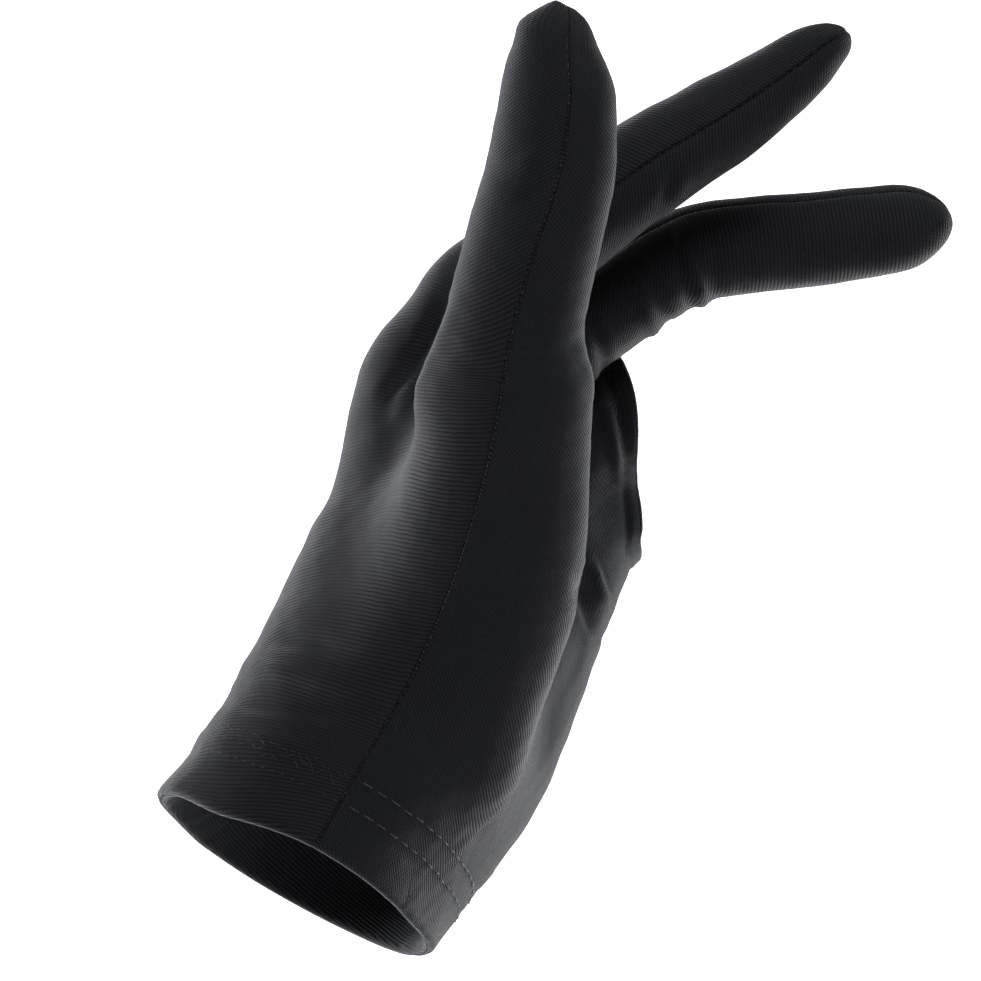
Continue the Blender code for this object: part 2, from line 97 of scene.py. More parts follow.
@dataclass(frozen=True)
class TubePlan:
    """Where a form tube starts, how far its end bulges, and its bones."""

    start: tuple[float, float, float]
    cap: float
    bones: tuple[Bone, ...]


@dataclass(frozen=True)
class Level:
    """Where rows of cloth cross a finger's tube, as shares of FORM_LENGTH."""

    heel: float
    knuckle: int
    web: float
    edge: Optional[float] = None


@dataclass(frozen=True)
class Softness:
    """How softly the form's tubes run together, shares of HAND_DEPTH."""

    fingers: float = 0.25
    opening: float = 0.24
    edge: float = 0.58
    wrist: float = 0.6
    pad: float = 0.417
    web: float = 0.417
    palm: float = 0.667


FORM = {
    "wrist": TubePlan((-0.036, -0.020, -0.049), 0.42, (
        Bone(0.000, 0, 0, 1.38, 1.06, 45),
        Bone(0.065, 55, 18, 1.35, 1.05, 45),
        Bone(0.134, 56, 13, 1.29, 1.00, 45),
        Bone(0.148, 66, 16, 1.12, 0.79, 45),
    )),
    "thumb": TubePlan((0.013, -0.086, 0.024), 0.60, (
        Bone(0.000, 0, 0, 0.38, 0.38, 0),
        Bone(0.094, 60, 9, 0.42, 0.42, 0),
        Bone(0.083, 60, -4, 0.46, 0.46, 0),
        Bone(0.091, 66, -6, 0.50, 0.52, 0),
        Bone(0.088, 72, -13, 0.50, 0.54, 0),
        Bone(0.088, 77, -20, 0.50, 0.56, 0),
        Bone(0.071, 80, -17, 0.50, 0.53, 0),
        Bone(0.089, 77, -16, 0.49, 0.50, -3),
        Bone(0.069, 76, -13, 0.46, 0.48, -8),
        Bone(0.071, 84, -8, 0.41, 0.43, -12),
    )),
    "thumb_pad": TubePlan((0.139, -0.040, 0.123), 0.42, (
        Bone(0.000, 0, 0, 0.42, 0.50, 10),
        Bone(0.140, 72, -12, 0.54, 0.62, 10),
        Bone(0.098, 79, -18, 0.50, 0.56, 5),
        Bone(0.088, 78, -20, 0.33, 0.38, 0),
    )),
    "web": TubePlan((0.116, -0.020, 0.252), 0.21, (
        Bone(0.000, 0, 0, 0.67, 0.42, 0),
        Bone(0.115, 77, -8, 0.75, 0.29, 0),
        Bone(0.074, 71, -4, 0.75, 0.21, 0),
    )),
    "heel_pad": TubePlan((0.072, 0.061, 0.012), 0.38, (
        Bone(0.000, 0, 0, 0.38, 0.38, 10),
        Bone(0.091, 43, 16, 0.50, 0.54, 15),
        Bone(0.151, 59, 28, 0.50, 0.54, 35),
        Bone(0.105, 59, 39, 0.38, 0.42, 45),
    )),
    "index": TubePlan((0.006, -0.045, 0.013), 0.44, (
        Bone(0.000, 0, 0, 0.33, 0.38, 0),
        Bone(0.153, 80, 17, 0.46, 0.50, 8),
        Bone(0.170, 72, 10, 0.46, 0.52, 10),
        Bone(0.194, 73, 10, 0.48, 0.52, 0),
        Bone(0.132, 44, 0, 0.42, 0.42, 0),
        Bone(0.109, 38, 0, 0.40, 0.40, 0),
        Bone(0.106, 32, 3, 0.36, 0.35, 0),
        Bone(0.078, 35, 2, 0.28, 0.27, 0),
    )),
    "middle": TubePlan((0.000, 0.000, 0.001), 0.48, (
        Bone(0.000, 0, 0, 0.33, 0.38, 0),
        Bone(0.144, 63, 18, 0.46, 0.50, 20),
        Bone(0.170, 72, 16, 0.46, 0.52, 40),
        Bone(0.190, 71, 17, 0.46, 0.54, 45),
        Bone(0.123, 36, 5, 0.42, 0.42, 50),
        Bone(0.115, 31, 5, 0.40, 0.40, 54),
        Bone(0.130, 8, 2, 0.38, 0.38, 54),
        Bone(0.070, 8, 2, 0.36, 0.37, 54),
    )),
    "ring": TubePlan((-0.007, 0.045, -0.012), 0.42, (
        Bone(0.000, 0, 0, 0.33, 0.38, 0),
        Bone(0.140, 52, 15, 0.46, 0.50, 25),
        Bone(0.156, 58, 21, 0.46, 0.50, 45),
        Bone(0.176, 64, 24, 0.46, 0.48, 50),
        Bone(0.126, 40, 9, 0.42, 0.40, 55),
        Bone(0.047, 32, 6, 0.42, 0.38, 55),
    )),
    "little": TubePlan((-0.014, 0.091, -0.025), 0.38, (
        Bone(0.000, 0, 0, 0.33, 0.38, 0),
        Bone(0.145, 47, 12, 0.46, 0.50, 15),
        Bone(0.160, 46, 22, 0.50, 0.50, 35),
        Bone(0.146, 56, 31, 0.44, 0.46, 48),
        Bone(0.085, 30, 10, 0.40, 0.38, 55),
        Bone(0.045, 24, 13, 0.38, 0.35, 55),
    )),
}

LEVELS = {
    "thumb": Level(0.148, 5, 0.030),
    "index": Level(0.152, 3, -0.038),
    "middle": Level(0.146, 3, -0.060),
    "ring": Level(0.142, 3, -0.066, 0.101),
    "little": Level(0.150, 3, -0.060, 0.063),
}

PARTED = (("thumb", "index"), ("index", "middle"), ("middle", "ring"))
FINGERS = ("thumb", "index", "middle", "ring", "little")


def unit(v: np.ndarray) -> np.ndarray:
    """Vectors scaled to length one."""
    return v / np.maximum(np.linalg.norm(v, axis=-1, keepdims=True), 1e-12)


def run_lengths(rows: np.ndarray) -> np.ndarray:
    """Length from the first row of points up to each row, in every column."""
    steps = np.linalg.norm(np.diff(rows, axis=0), axis=-1)
    return np.concatenate([np.zeros((1, *steps.shape[1:])), np.cumsum(steps, 0)])


def line_at_depth(rows: np.ndarray, depth: float) -> np.ndarray:
    """A line of points at a set length from the first row of points."""
    reach = run_lengths(rows)
    return np.array([[np.interp(depth, reach[:, c], rows[:, c, k]) for k in range(3)]
                     for c in range(rows.shape[1])])


def ease(low: float, high: float, x: np.ndarray | float) -> np.ndarray | float:
    """Smooth step from 0 at low to 1 at high."""
    t = np.clip((x - low) / (high - low), 0.0, 1.0)
    return t * t * (3.0 - 2.0 * t)


def heading(rise: float, swing: float) -> np.ndarray:
    """Direction that rises above the horizon and swings away from the front."""
    r, s = math.radians(rise), math.radians(swing)
    return np.array([math.cos(r) * math.cos(s), math.sin(s), math.sin(r) * math.cos(s)])


class FormTube:
    """A bent tube with an oval section that changes along it."""

    SAMPLE = 0.0015

    def __init__(self, plan: TubePlan) -> None:
        """Place the joints and sample the tube's centre line.

        Args:
            plan: start, cap and bones of the tube.
        """
        points = [np.array(plan.start) * FORM_LENGTH]
        for bone in plan.bones[1:]:
            points.append(points[-1] + heading(bone.rise, bone.swing) * bone.length * FORM_LENGTH)
        rows = [[*p, b.half_width * HAND_DEPTH, b.half_depth * HAND_DEPTH, b.roll]
                for p, b in zip(points, plan.bones)]
        self.joints = np.concatenate([[0.0], np.cumsum([b.length for b in plan.bones[1:]])])
        self.joints *= FORM_LENGTH
        self.cap = plan.cap * HAND_DEPTH
        self._sample(np.array(rows))

    def _sample(self, knots: np.ndarray) -> None:
        """Cubic curve through the joints, then the section's two directions.

        Args:
            knots: a row per joint of centre, half width, half depth and roll.
        """
        gaps = np.diff(self.joints)
        slope = np.diff(knots, axis=0) / gaps[:, None]
        tangent = np.empty_like(knots)
        tangent[0], tangent[-1] = slope[0], slope[-1]
        before, after = gaps[:-1, None], gaps[1:, None]
        tangent[1:-1] = (slope[:-1] * after + slope[1:] * before) / (before + after)
        count = int(np.ceil(self.joints[-1] / self.SAMPLE)) + 1
        self.s = np.linspace(0.0, self.joints[-1], count)
        i = np.clip(np.searchsorted(self.joints, self.s, side="right") - 1, 0, len(gaps) - 1)
        h = gaps[i][:, None]
        u = (self.s - self.joints[i])[:, None] / h
        curve = ((2 * u ** 3 - 3 * u ** 2 + 1) * knots[i] + (u ** 3 - 2 * u ** 2 + u) * h * tangent[i]
                 + (3 * u ** 2 - 2 * u ** 3) * knots[i + 1] + (u ** 3 - u ** 2) * h * tangent[i + 1])
        self.centre, self.half_width, self.half_depth = curve[:, :3], curve[:, 3], curve[:, 4]
        self.along = unit(np.gradient(self.centre, axis=0))
        away = np.array([0.0, 1.0, 0.0])
        across = unit(away - (self.along @ away)[:, None] * self.along)
        roll = np.radians(curve[:, 5])[:, None]
        self.across = np.cos(roll) * across + np.sin(roll) * np.cross(across, self.along)
        self.palmward = np.cross(self.across, self.along)

    def at(self, s: np.ndarray | float) -> tuple[np.ndarray, ...]:
        """Centre, along, across, palmward, half width and half depth at stations.

        Args:
            s: lengths along the tube.

        Returns:
            The six values for each station.
        """
        def pick(values: np.ndarray) -> np.ndarray:
            """One three-part value at every station."""
            return np.stack([np.interp(s, self.s, column) for column in values.T], -1)
        return (pick(self.centre), unit(pick(self.along)), unit(pick(self.across)),
                unit(pick(self.palmward)), np.interp(s, self.s, self.half_width),
                np.interp(s, self.s, self.half_depth))

    def distance(self, points: np.ndarray) -> np.ndarray:
        """How far outside the tube points are.

        Args:
            points: the points, one a row.

        Returns:
            The distance of each point, negative inside.
        """
        near = ((self.centre ** 2).sum(1) - 2 * points @ self.centre.T).argmin(1)
        s = self.s[near] + ((points - self.centre[near]) * self.along[near]).sum(1)
        f = np.clip(s, 0.0, self.s[-1]) / (self.s[1] - self.s[0])
        i = np.clip(f.astype(int), 0, len(self.s) - 2)
        a = (f - i)[:, None]
        along = unit(self.along[i] * (1 - a) + self.along[i + 1] * a)
        across = unit(self.across[i] * (1 - a) + self.across[i + 1] * a)
        palmward = np.cross(across, along)
        a1 = a[:, 0]
        w = self.half_width[i] * (1 - a1) + self.half_width[i + 1] * a1
        h = self.half_depth[i] * (1 - a1) + self.half_depth[i + 1] * a1
        p = points - self.centre[i] * (1 - a) - self.centre[i + 1] * a
        pw, ph = (p * across).sum(1), (p * palmward).sum(1)
        past_end = (s < 0.0) | (s > self.s[-1])
        pl = np.where(past_end, (p * along).sum(1), 0.0)
        cap = np.where(pl > 0.0, self.cap, np.minimum(w, h))
        reach = np.sqrt((pw / w) ** 2 + (ph / h) ** 2 + (pl / cap) ** 2)
        r = np.sqrt(pw ** 2 + ph ** 2 + pl ** 2)
        return np.where(r < 5e-5, -np.minimum(w, h), r - r / np.maximum(reach, 1e-6))


def soft_join(a: np.ndarray, b: np.ndarray, softness: float) -> np.ndarray:
    """Smallest of two distances with a rounded valley between them.

    Args:
        a: distances from the first shape.
        b: distances from the second shape.
        softness: width of the valley, a share of HAND_DEPTH.

    Returns:
        The joined distances.
    """
    k = softness * HAND_DEPTH
    close = np.maximum(k - np.abs(a - b), 0.0) / k
    return np.minimum(a, b) - close * close * k * 0.25


class Form:
    """The whole form under the cloth.

    CHUNK is how many points are measured at once. RAY values steer the search for the
    surface along a ray, VALLEY values the search for where two fingers part.
    """

    CHUNK = 4000
    RAY_START, RAY_STEPS, RAY_CAUTION = 0.003, 20, 0.95
    VALLEY_REACH, VALLEY_STEPS = (-0.04, 0.19), 24
    VALLEY_SPREAD, VALLEY_CLEAR = 0.25, 0.0001

    def __init__(self) -> None:
        """Make the tubes and find the levels and the valleys between fingers."""
        self.tubes = {name: FormTube(plan) for name, plan in FORM.items()}
        self.soft = Softness()
        self.cuff_axis = heading(CUFF_RISE, CUFF_SWING)
        self.levels: dict[str, list[float]] = {}
        for name, level in LEVELS.items():
            knuckle = self.tubes[name].joints[level.knuckle]
            self.levels[name] = [0.0, level.heel * FORM_LENGTH, knuckle + level.web * FORM_LENGTH]
        self._find_valleys()

    def distance(self, points: np.ndarray) -> np.ndarray:
        """How far outside the form points are.

        Args:
            points: the points, one a row.

        Returns:
            The distance of each point, negative inside.
        """
        if len(points) > self.CHUNK:
            parts = [self.distance(points[i:i + self.CHUNK])
                     for i in range(0, len(points), self.CHUNK)]
            return np.concatenate(parts)
        d = {name: tube.distance(points) for name, tube in self.tubes.items()}
        soft = self.soft
        hand = soft_join(d["index"], d["middle"], soft.fingers)
        hand = soft_join(hand, d["ring"], soft.opening)
        hand = soft_join(hand, d["little"], soft.edge)
        hand = soft_join(hand, d["heel_pad"], soft.pad)
        hand = soft_join(hand, d["wrist"], soft.wrist)
        thumb = soft_join(d["thumb"], d["thumb_pad"], soft.pad)
        return soft_join(hand, soft_join(thumb, d["web"], soft.web), soft.palm)

    def slope(self, points: np.ndarray) -> np.ndarray:
        """How the distance grows in each direction at each point."""
        h = 2e-4
        steps = [self.distance(points + h * e) - self.distance(points - h * e) for e in np.eye(3)]
        return np.stack(steps, 1) / (2 * h)

    def outward(self, points: np.ndarray) -> np.ndarray:
        """Unit normal of the form at each point."""
        return unit(self.slope(points))

    def settle(self, points: np.ndarray) -> np.ndarray:
        """Points moved on to the surface of the form."""
        slope = self.slope(points)
        return points - slope * (self.distance(points) / (slope ** 2).sum(1))[:, None]

    def cast(self, starts: np.ndarray, directions: np.ndarray) -> np.ndarray:
        """Surface points met by rays from inside the form.

        Args:
            starts: where each ray starts.
            directions: unit direction of each ray.

        Returns:
            The points met, or the start itself where it lies outside.
        """
        r = np.full(len(starts), self.RAY_START)
        for _ in range(self.RAY_STEPS):
            gap = self.distance(starts + directions * r[:, None])
            r = np.maximum(r - self.RAY_CAUTION * gap, 0.0)
        r[self.distance(starts) > 0.0] = 0.0
        return starts + directions * r[:, None]

    def _middle(self, pair: tuple[str, str], stations: Sequence[float]
                ) -> tuple[np.ndarray, np.ndarray]:
        """Point half way between two tubes and the mean of their palmward directions."""
        first, second = (self.tubes[name].at(s) for name, s in zip(pair, stations))
        return (first[0] + second[0]) / 2, unit(first[3] + second[3])

    def _find_valleys(self) -> None:
        """Slide along each pair of fingers to where the form parts between them."""
        self.valleys: dict[tuple[str, str], tuple[float, float]] = {}
        self.partings: dict[tuple[str, str], float] = {}
        offsets = np.linspace(-self.VALLEY_SPREAD, self.VALLEY_SPREAD, 21) * HAND_DEPTH
        for pair, level in zip(PARTED, (2, 3, 3)):
            start = np.array([self.levels[n][2] if level == 2
                              else self.tubes[n].joints[LEVELS[n].knuckle] for n in pair])
            low, high = (share * FORM_LENGTH for share in self.VALLEY_REACH)
            for _ in range(self.VALLEY_STEPS):
                slide = (low + high) / 2
                middle, palmward = self._middle(pair, start + slide)
                parted = self.distance(middle + offsets[:, None] * palmward)
                if parted.min() > self.VALLEY_CLEAR:
                    high, self.partings[pair] = slide, offsets[parted.argmin()]
                else:
                    low = slide
            self.valleys[pair] = tuple(start + high)
        thumb, index = self.valleys["thumb", "index"]
        self.levels["thumb"][2], self.levels["index"][2] = thumb, index
        self.levels["index"].append(self.valleys["index", "middle"][0])
        self.levels["middle"].append((self.valleys["index", "middle"][1]
                                      + self.valleys["middle", "ring"][0]) / 2)
        for name in ("ring", "little"):
            knuckle = self.tubes[name].joints[LEVELS[name].knuckle]
            self.levels[name].append(knuckle + LEVELS[name].edge * FORM_LENGTH)

    def station(self, name: str, level: float) -> float:
        """Length along a finger's tube at a level of the cloth."""
        marks = self.levels[name]
        return float(np.interp(level, range(len(marks)), marks))

    def roots(self, name: str) -> tuple[float, float]:
        """Where a finger leaves the hand.

        Args:
            name: the finger.

        Returns:
            Lengths along its tube, on its thumb side and on its far side.
        """
        near = far = self.levels[name][-1]
        for pair, stations in self.valleys.items():
            if pair[1] == name and len(self.levels[name]) == len(self.levels[pair[0]]):
                near = stations[1]
            if pair[0] == name:
                far = stations[0]
        return near, far

    def valleys_beside(self, name: str) -> Iterator[tuple[int, np.ndarray]]:
        """Parting points beside a finger, -1 for its thumb side and 1 for its far side."""
        for pair in self.valleys:
            if name in pair:
                yield 1 if pair[0] == name else -1, self.middle(pair, 2 if "thumb" in pair else 3)

    def middle(self, pair: tuple[str, str], level: float) -> np.ndarray:
        """Point half way between two neighbouring tubes.

        Args:
            pair: the two fingers.
            level: level of the cloth.

        Returns:
            The point, drawn to the parting near the top level.
        """
        stations = [self.station(name, level) for name in pair]
        blend = 0.0
        if pair in self.valleys:
            top = 2 if "thumb" in pair else 3
            blend = ease(top - 1, top, level)
            stations = [s + (goal - self.station(name, top)) * blend
                        for s, goal, name in zip(stations, self.valleys[pair], pair)]
        middle, palmward = self._middle(pair, stations)
        return middle + palmward * self.partings.get(pair, 0.0) * blend


@dataclass(frozen=True)
class ClothPlan:
    """How the cloth is laid: shares across half a finger, levels up the hand.

    Up to the level cuff_flat the rays turn square to the wrist, from parting_start on
    they gather towards the valleys, and over the levels of seam_turn the seam leaves
    the thumb's side. tip_crowding is how much closer the rows stand at a tip.
    """

    shares: tuple[float, ...] = (0.0, 0.16, 0.32, 0.48, 0.62, 0.74, 0.84, 0.92, 0.97, 1.0)
    hand: tuple[float, ...] = (*np.linspace(0.0, 1.0, 17), *np.linspace(1.0, 1.72, 19)[1:],
                               1.76, 1.80, 1.84, 1.88, 1.91, 1.94, 1.97, 2.0)
    knuckles: tuple[float, ...] = (2.015, 2.035, 2.06, 2.09, 2.13, *np.linspace(2.18, 2.78, 12),
                                   2.83, 2.88, 2.93, 2.965, 3.0)
    finger_rows: int = 26
    tip_rows: int = 6
    spread_passes: int = 6
    cuff_flat: float = 0.9
    parting_start: float = 2.2
    seam_turn: tuple[float, float] = (2.0, 2.6)
    tip_crowding: float = 0.45


class PanelCloth:
    """One cloth panel laid over the form as grids of points."""

    def __init__(self, form: Form, side: Side, plan: ClothPlan) -> None:
        """Keep what the grids are worked out from.

        Args:
            form: the form under the cloth.
            side: the back or the palm.
            plan: how finely the cloth is laid.
        """
        self.form, self.side, self.plan = form, side.value, plan
        self.shares = np.array(plan.shares)
        self.fan_count = len(plan.shares) - 1

    def fan(self, name: str, stations: np.ndarray | float, shares: np.ndarray,
            turn: np.ndarray | float = 0.0) -> tuple[np.ndarray, np.ndarray]:
        """Rays round a finger.

        Args:
            name: the finger.
            stations: length along its tube for each ray.
            shares: -1 is the thumb-side seam, 1 the far seam, 0 the middle.
            turn: how far the two seams still face the valleys beside the finger.

        Returns:
            Starts and directions of the rays.
        """
        centre, along, across, palmward, w, h = self.form.tubes[name].at(
            np.broadcast_to(stations, shares.shape))
        for hand, valley in self.form.valleys_beside(name):
            toward = hand * (valley - centre)
            toward = unit(toward - (toward * along).sum(1)[:, None] * along)
            share = (turn * (shares * hand > 0))[:, None]
            across = unit(across + (toward - across) * share)
        angle = shares * np.pi / 2
        out = (w * np.sin(angle))[:, None] * across
        up = (self.side * h * np.cos(angle))[:, None] * palmward
        return centre, unit(out + up)

    def bridge(self, pair: tuple[str, str], level: float) -> tuple[np.ndarray, np.ndarray]:
        """Rays over the valley between two neighbouring fingers.

        Args:
            pair: the two fingers.
            level: level of the cloth.

        Returns:
            Starts and directions of the rays.
        """
        parting = {("thumb", "index"): ease(1.0, 2.0, level), ("ring", "little"): 0.0}
        part = parting.get(pair, ease(self.plan.parting_start, 3.0, level))
        middle = self.form.middle(pair, level)
        starts, turns = [], []
        for name in pair:
            centre = self.form.tubes[name].at(self.form.station(name, level))[0]
            share = (1 - part) * self.shares + part * np.sin(self.shares * np.pi / 2)
            starts.append(centre + (middle - centre) * share[:, None])
            turns.append(share[:, None] / 2)
        first, second = (self.form.tubes[n].at(self.form.station(n, level))[3] for n in pair)
        start = np.concatenate([starts[0], starts[1][::-1][1:]])
        turn = np.concatenate([turns[0], 1 - turns[1][::-1][1:]])
        return start, self.side * unit(first * (1 - turn) + second * turn)

    def row(self, level: float, fingers: Sequence[str]) -> np.ndarray:
        """One row of cloth across the fingers.

        Args:
            level: level of the cloth.
            fingers: the fingers that the row crosses, thumb side first.

        Returns:
            The row's surface points, thumb side first.
        """
        first, last = fingers[0], fingers[-1]
        turn = 0.0 if first == "thumb" else 1.0 - ease(*self.plan.seam_turn, level)
        parts = [self.fan(first, self.form.station(first, level), -self.shares[:0:-1], turn)]
        for pair in zip(fingers, fingers[1:]):
            start, rays = self.bridge(pair, level)
            parts.append((start[:-1], rays[:-1]))
        parts.append(self.fan(last, self.form.station(last, level), self.shares))
        starts = np.concatenate([p[0] for p in parts])
        rays = np.concatenate([p[1] for p in parts])
        axis = self.form.cuff_axis
        flat = 1.0 - ease(0.0, self.plan.cuff_flat, level)
        rays = unit(rays - flat * (rays @ axis)[:, None] * axis)
        return self.form.cast(starts, rays)

    def finger(self, name: str, first_row: np.ndarray) -> np.ndarray:
        """Rows of cloth from a finger's root to its tip.

        Args:
            name: the finger.
            first_row: the hand's row that the finger grows from.

        Returns:
            A grid of surface points.
        """
        tube = self.form.tubes[name]
        shares = np.concatenate([-self.shares[:0:-1], self.shares])
        near, far = self.form.roots(name)
        root = near + (far - near) * (shares + 1) / 2
        rows = [first_row]
        for step in np.arange(1, self.plan.finger_rows + 1) / self.plan.finger_rows:
            reach = (1.0 - self.plan.tip_crowding) * step + self.plan.tip_crowding * step ** 1.6
            turn = 1.0 - ease(0.0, 0.4, reach)
            starts, rays = self.fan(name, root + (tube.s[-1] - root) * reach, shares,
                                    np.where(shares < 0, turn * (name == "middle"), turn))
            rows.append(self.form.cast(starts, rays))
        centre, along, across, palmward, w, h = tube.at(tube.s[-1])
        angle = shares[:, None] * np.pi / 2
        ring = w * np.sin(angle) * across + self.side * h * np.cos(angle) * palmward
        for i in range(1, self.plan.tip_rows + 1):
            lean = i / self.plan.tip_rows * np.pi / 2
            rays = unit(np.cos(lean) * ring + np.sin(lean) * tube.cap * along)
            rows.append(self.form.cast(np.repeat(centre[None], len(rays), 0), rays))
        rows[-1][:] = rows[-1][0]
        return np.array(rows)

    def grids(self) -> dict[str, np.ndarray]:
        """Lay the whole panel.

        Returns:
            Grids of outer surface points: hand, knuckles, thumb, index and middle.
        """
        n = self.fan_count
        hand = np.array([self.row(v, FINGERS) for v in self.plan.hand])
        knuckles = np.array([hand[-1][2 * n:]]
                            + [self.row(v, FINGERS[1:]) for v in self.plan.knuckles])
        return {
            "hand": hand,
            "knuckles": knuckles,
            "thumb": self.finger("thumb", hand[-1][:2 * n + 1]),
            "index": self.finger("index", knuckles[-1][:2 * n + 1]),
            "middle": self.finger("middle", knuckles[-1][2 * n:4 * n + 1]),
        }


@dataclass(frozen=True)
class Fold:
    """A soft ridge or valley of the cloth along a line, as seen from the front.

    points are x and z at the origin's depth, and with width and height are millimetres.
    around is how far the fold runs round the edge: -1 all the way, 0 not at all.
    The fold starts and ends at END of its height and is full after TAPER of its length.
    """

    TAPER, END, EDGE = 0.3, 0.35, 0.35

    points: tuple[tuple[float, float], ...]
    width: float
    height: float
    around: float = -0.05

    def lift(self, seen: np.ndarray, facing: np.ndarray) -> np.ndarray:
        """How far the fold raises each point.

        Args:
            seen: x and z of the points as seen from the front, metres.
            facing: 1 where the cloth looks at the front, -1 where it looks away.

        Returns:
            The rise of each point, metres.
        """
        line = np.array(self.points) * MM
        starts, steps = line[:-1], np.diff(line, axis=0)
        lengths = np.linalg.norm(steps, axis=1)
        offset = seen[:, None] - starts
        share = np.clip((offset * steps).sum(-1) / lengths ** 2, 0.0, 1.0)
        gap = np.linalg.norm(offset - share[..., None] * steps, axis=-1)
        near = gap.argmin(1)
        before = run_lengths(line)[:-1]
        pick = np.arange(len(seen))
        along = (before[near] + share[pick, near] * lengths[near]) / lengths.sum()
        taper = ease(0.0, self.TAPER, along) * (1.0 - ease(1.0 - self.TAPER, 1.0, along))
        rise = 1.0 - ease(0.0, self.width * MM, gap[pick, near])
        seen_side = ease(self.around, self.around + self.EDGE, facing)
        return self.height * MM * rise * (self.END + (1.0 - self.END) * taper) * seen_side


@dataclass(frozen=True)
class Push:
    """A soft push of the cloth within the picture, all values in millimetres."""

    place: tuple[float, float]
    reach: float
    move: tuple[float, float]

    def shift(self, seen: np.ndarray) -> np.ndarray:
        """How far each point is moved, metres.

        Args:
            seen: x and z of the points as seen from the front, metres.

        Returns:
            A move along x, y and z for each point.
        """
        gap = np.linalg.norm(seen - np.array(self.place) * MM, axis=1)
        move = np.array([self.move[0], 0.0, self.move[1]]) * MM
        return bell(gap, 0.0, self.reach * MM)[:, None] * move


FOLDS = (
    Fold(((25.7, 105.2), (22.7, 96.9), (20.1, 90.4), (17.9, 86.4), (16.4, 84.2)), 2.4, -1.7, -0.9),
    Fold(((28.4, 105.2), (25.3, 96.9), (22.3, 90.1), (19.7, 84.9)), 2.4, 0.7, -0.3),
    Fold(((15.7, 83.8), (13.4, 78.4), (11.2, 71.9)), 4.6, 0.5, -0.3),
    Fold(((-7.3, 42.3), (-0.2, 42.0), (8.1, 40.5)), 2.6, -0.9, -0.9),
    Fold(((-11.3, 37.9), (-0.2, 35.7), (15.5, 32.0)), 3.0, 1.0, -0.9),
    Fold(((-16.0, 31.2), (-3.9, 30.1), (13.1, 28.3)), 3.0, -1.0, -0.9),
    Fold(((-20.6, 24.2), (-9.5, 23.5), (5.3, 22.4)), 3.4, 0.6, -0.9),
    Fold(((69.3, 116.2), (71.9, 112.3), (73.6, 108.0), (74.5, 103.0)), 1.7, 1.1, -0.9),
    Fold(((67.8, 117.1), (70.1, 112.3), (71.5, 107.1), (72.3, 101.9)), 1.8, -1.0, -0.3),
    Fold(((76.0, 115.2), (76.7, 110.8), (77.1, 105.2)), 2.2, -0.7, -0.9),
    Fold(((64.1, 108.6), (66.4, 104.3), (68.6, 99.3)), 1.7, -0.8, -0.9),
    Fold(((62.7, 105.2), (64.5, 101.2), (66.0, 96.9)), 1.8, 0.6, -0.9),
    Fold(((69.1, 130.0), (68.2, 126.7), (66.9, 122.6)), 1.6, -0.7),
    Fold(((70.8, 130.0), (70.1, 126.3), (68.9, 122.3)), 1.9, 0.4),
    Fold(((39.3, 129.7), (41.9, 130.8), (45.3, 132.6)), 2.8, 0.7, -0.9),
    Fold(((40.5, 124.1), (42.7, 125.0), (44.9, 127.1)), 2.4, -0.6, -0.3),
    Fold(((46.9, 142.2), (47.9, 133.9), (47.1, 126.5)), 2.2, -0.6),
    Fold(((52.1, 96.0), (54.7, 89.1), (57.1, 82.1), (59.3, 71.9)), 2.0, 1.1, -0.2),
    Fold(((53.4, 101.9), (56.4, 93.8), (59.0, 84.9), (60.8, 75.6)), 1.8, -1.3, -0.2),
    Fold(((53.4, 57.1), (55.1, 52.0), (56.6, 47.9)), 1.9, 1.1, -0.9),
    Fold(((51.0, 53.4), (52.7, 48.6), (54.9, 43.1)), 2.2, -1.2, -0.9),
    Fold(((52.1, 44.2), (49.0, 33.1), (43.8, 20.1)), 3.4, -0.35, -0.3),
)
PUSHES = (
    Push((41.9, 158.2), 4.2, (-2.4, 0.6)),
    Push((47.3, 160.0), 3.0, (0.2, 1.6)),
    Push((55.8, 151.9), 6.6, (-1.9, -0.3)),
    Push((99.3, 148.2), 4.0, (-0.3, 1.3)),
    Push((101.5, 153.7), 2.6, (0.1, 0.4)),
    Push((-16.0, 13.7), 7.0, (-0.4, -2.2)),
    Push((-7.3, 9.8), 6.5, (-0.1, -0.8)),
    Push((19.2, -6.7), 6.0, (0.2, -0.6)),
    Push((63.6, 56.8), 4.5, (-1.2, 1.0)),
    Push((15.7, 107.5), 7.0, (1.6, -1.3)),
    Push((120.0, 120.4), 5.0, (0.9, 0.2)),
    Push((19.7, 88.6), 6.0, (-2.8, -0.6)),
    Push((-25.2, 14.6), 4.0, (-1.0, -0.6)),
)


def seen_from_front(points: np.ndarray) -> np.ndarray:
    """x and z where the lines of sight to the points cross the origin's depth."""
    offset = points - VIEWPOINT
    scaled = VIEWPOINT + offset * (-VIEWPOINT[1] / offset[:, 1])[:, None]
    return scaled[:, [0, 2]]


def gaps_to_line(points: np.ndarray, line: np.ndarray) -> np.ndarray:
    """Distance from each point to a line.

    Args:
        points: the points, one a row.
        line: closely spaced points of the line.

    Returns:
        A distance for each point.
    """
    tree = KDTree(len(line))
    for i, point in enumerate(line):
        tree.insert(point, i)
    tree.balance()
    return np.array([tree.find(point)[2] for point in points])


def resample(line: np.ndarray, step: float) -> np.ndarray:
    """The same line with points about one step apart."""
    s = run_lengths(line)
    at = np.linspace(0.0, s[-1], max(int(s[-1] / step) + 1, 2))
    return np.stack([np.interp(at, s, column) for column in line.T], 1)


def bell(x: np.ndarray, middle: float, width: float) -> np.ndarray:
    """Rounded peak of height 1."""
    return np.exp(-((x - middle) / width) ** 2)


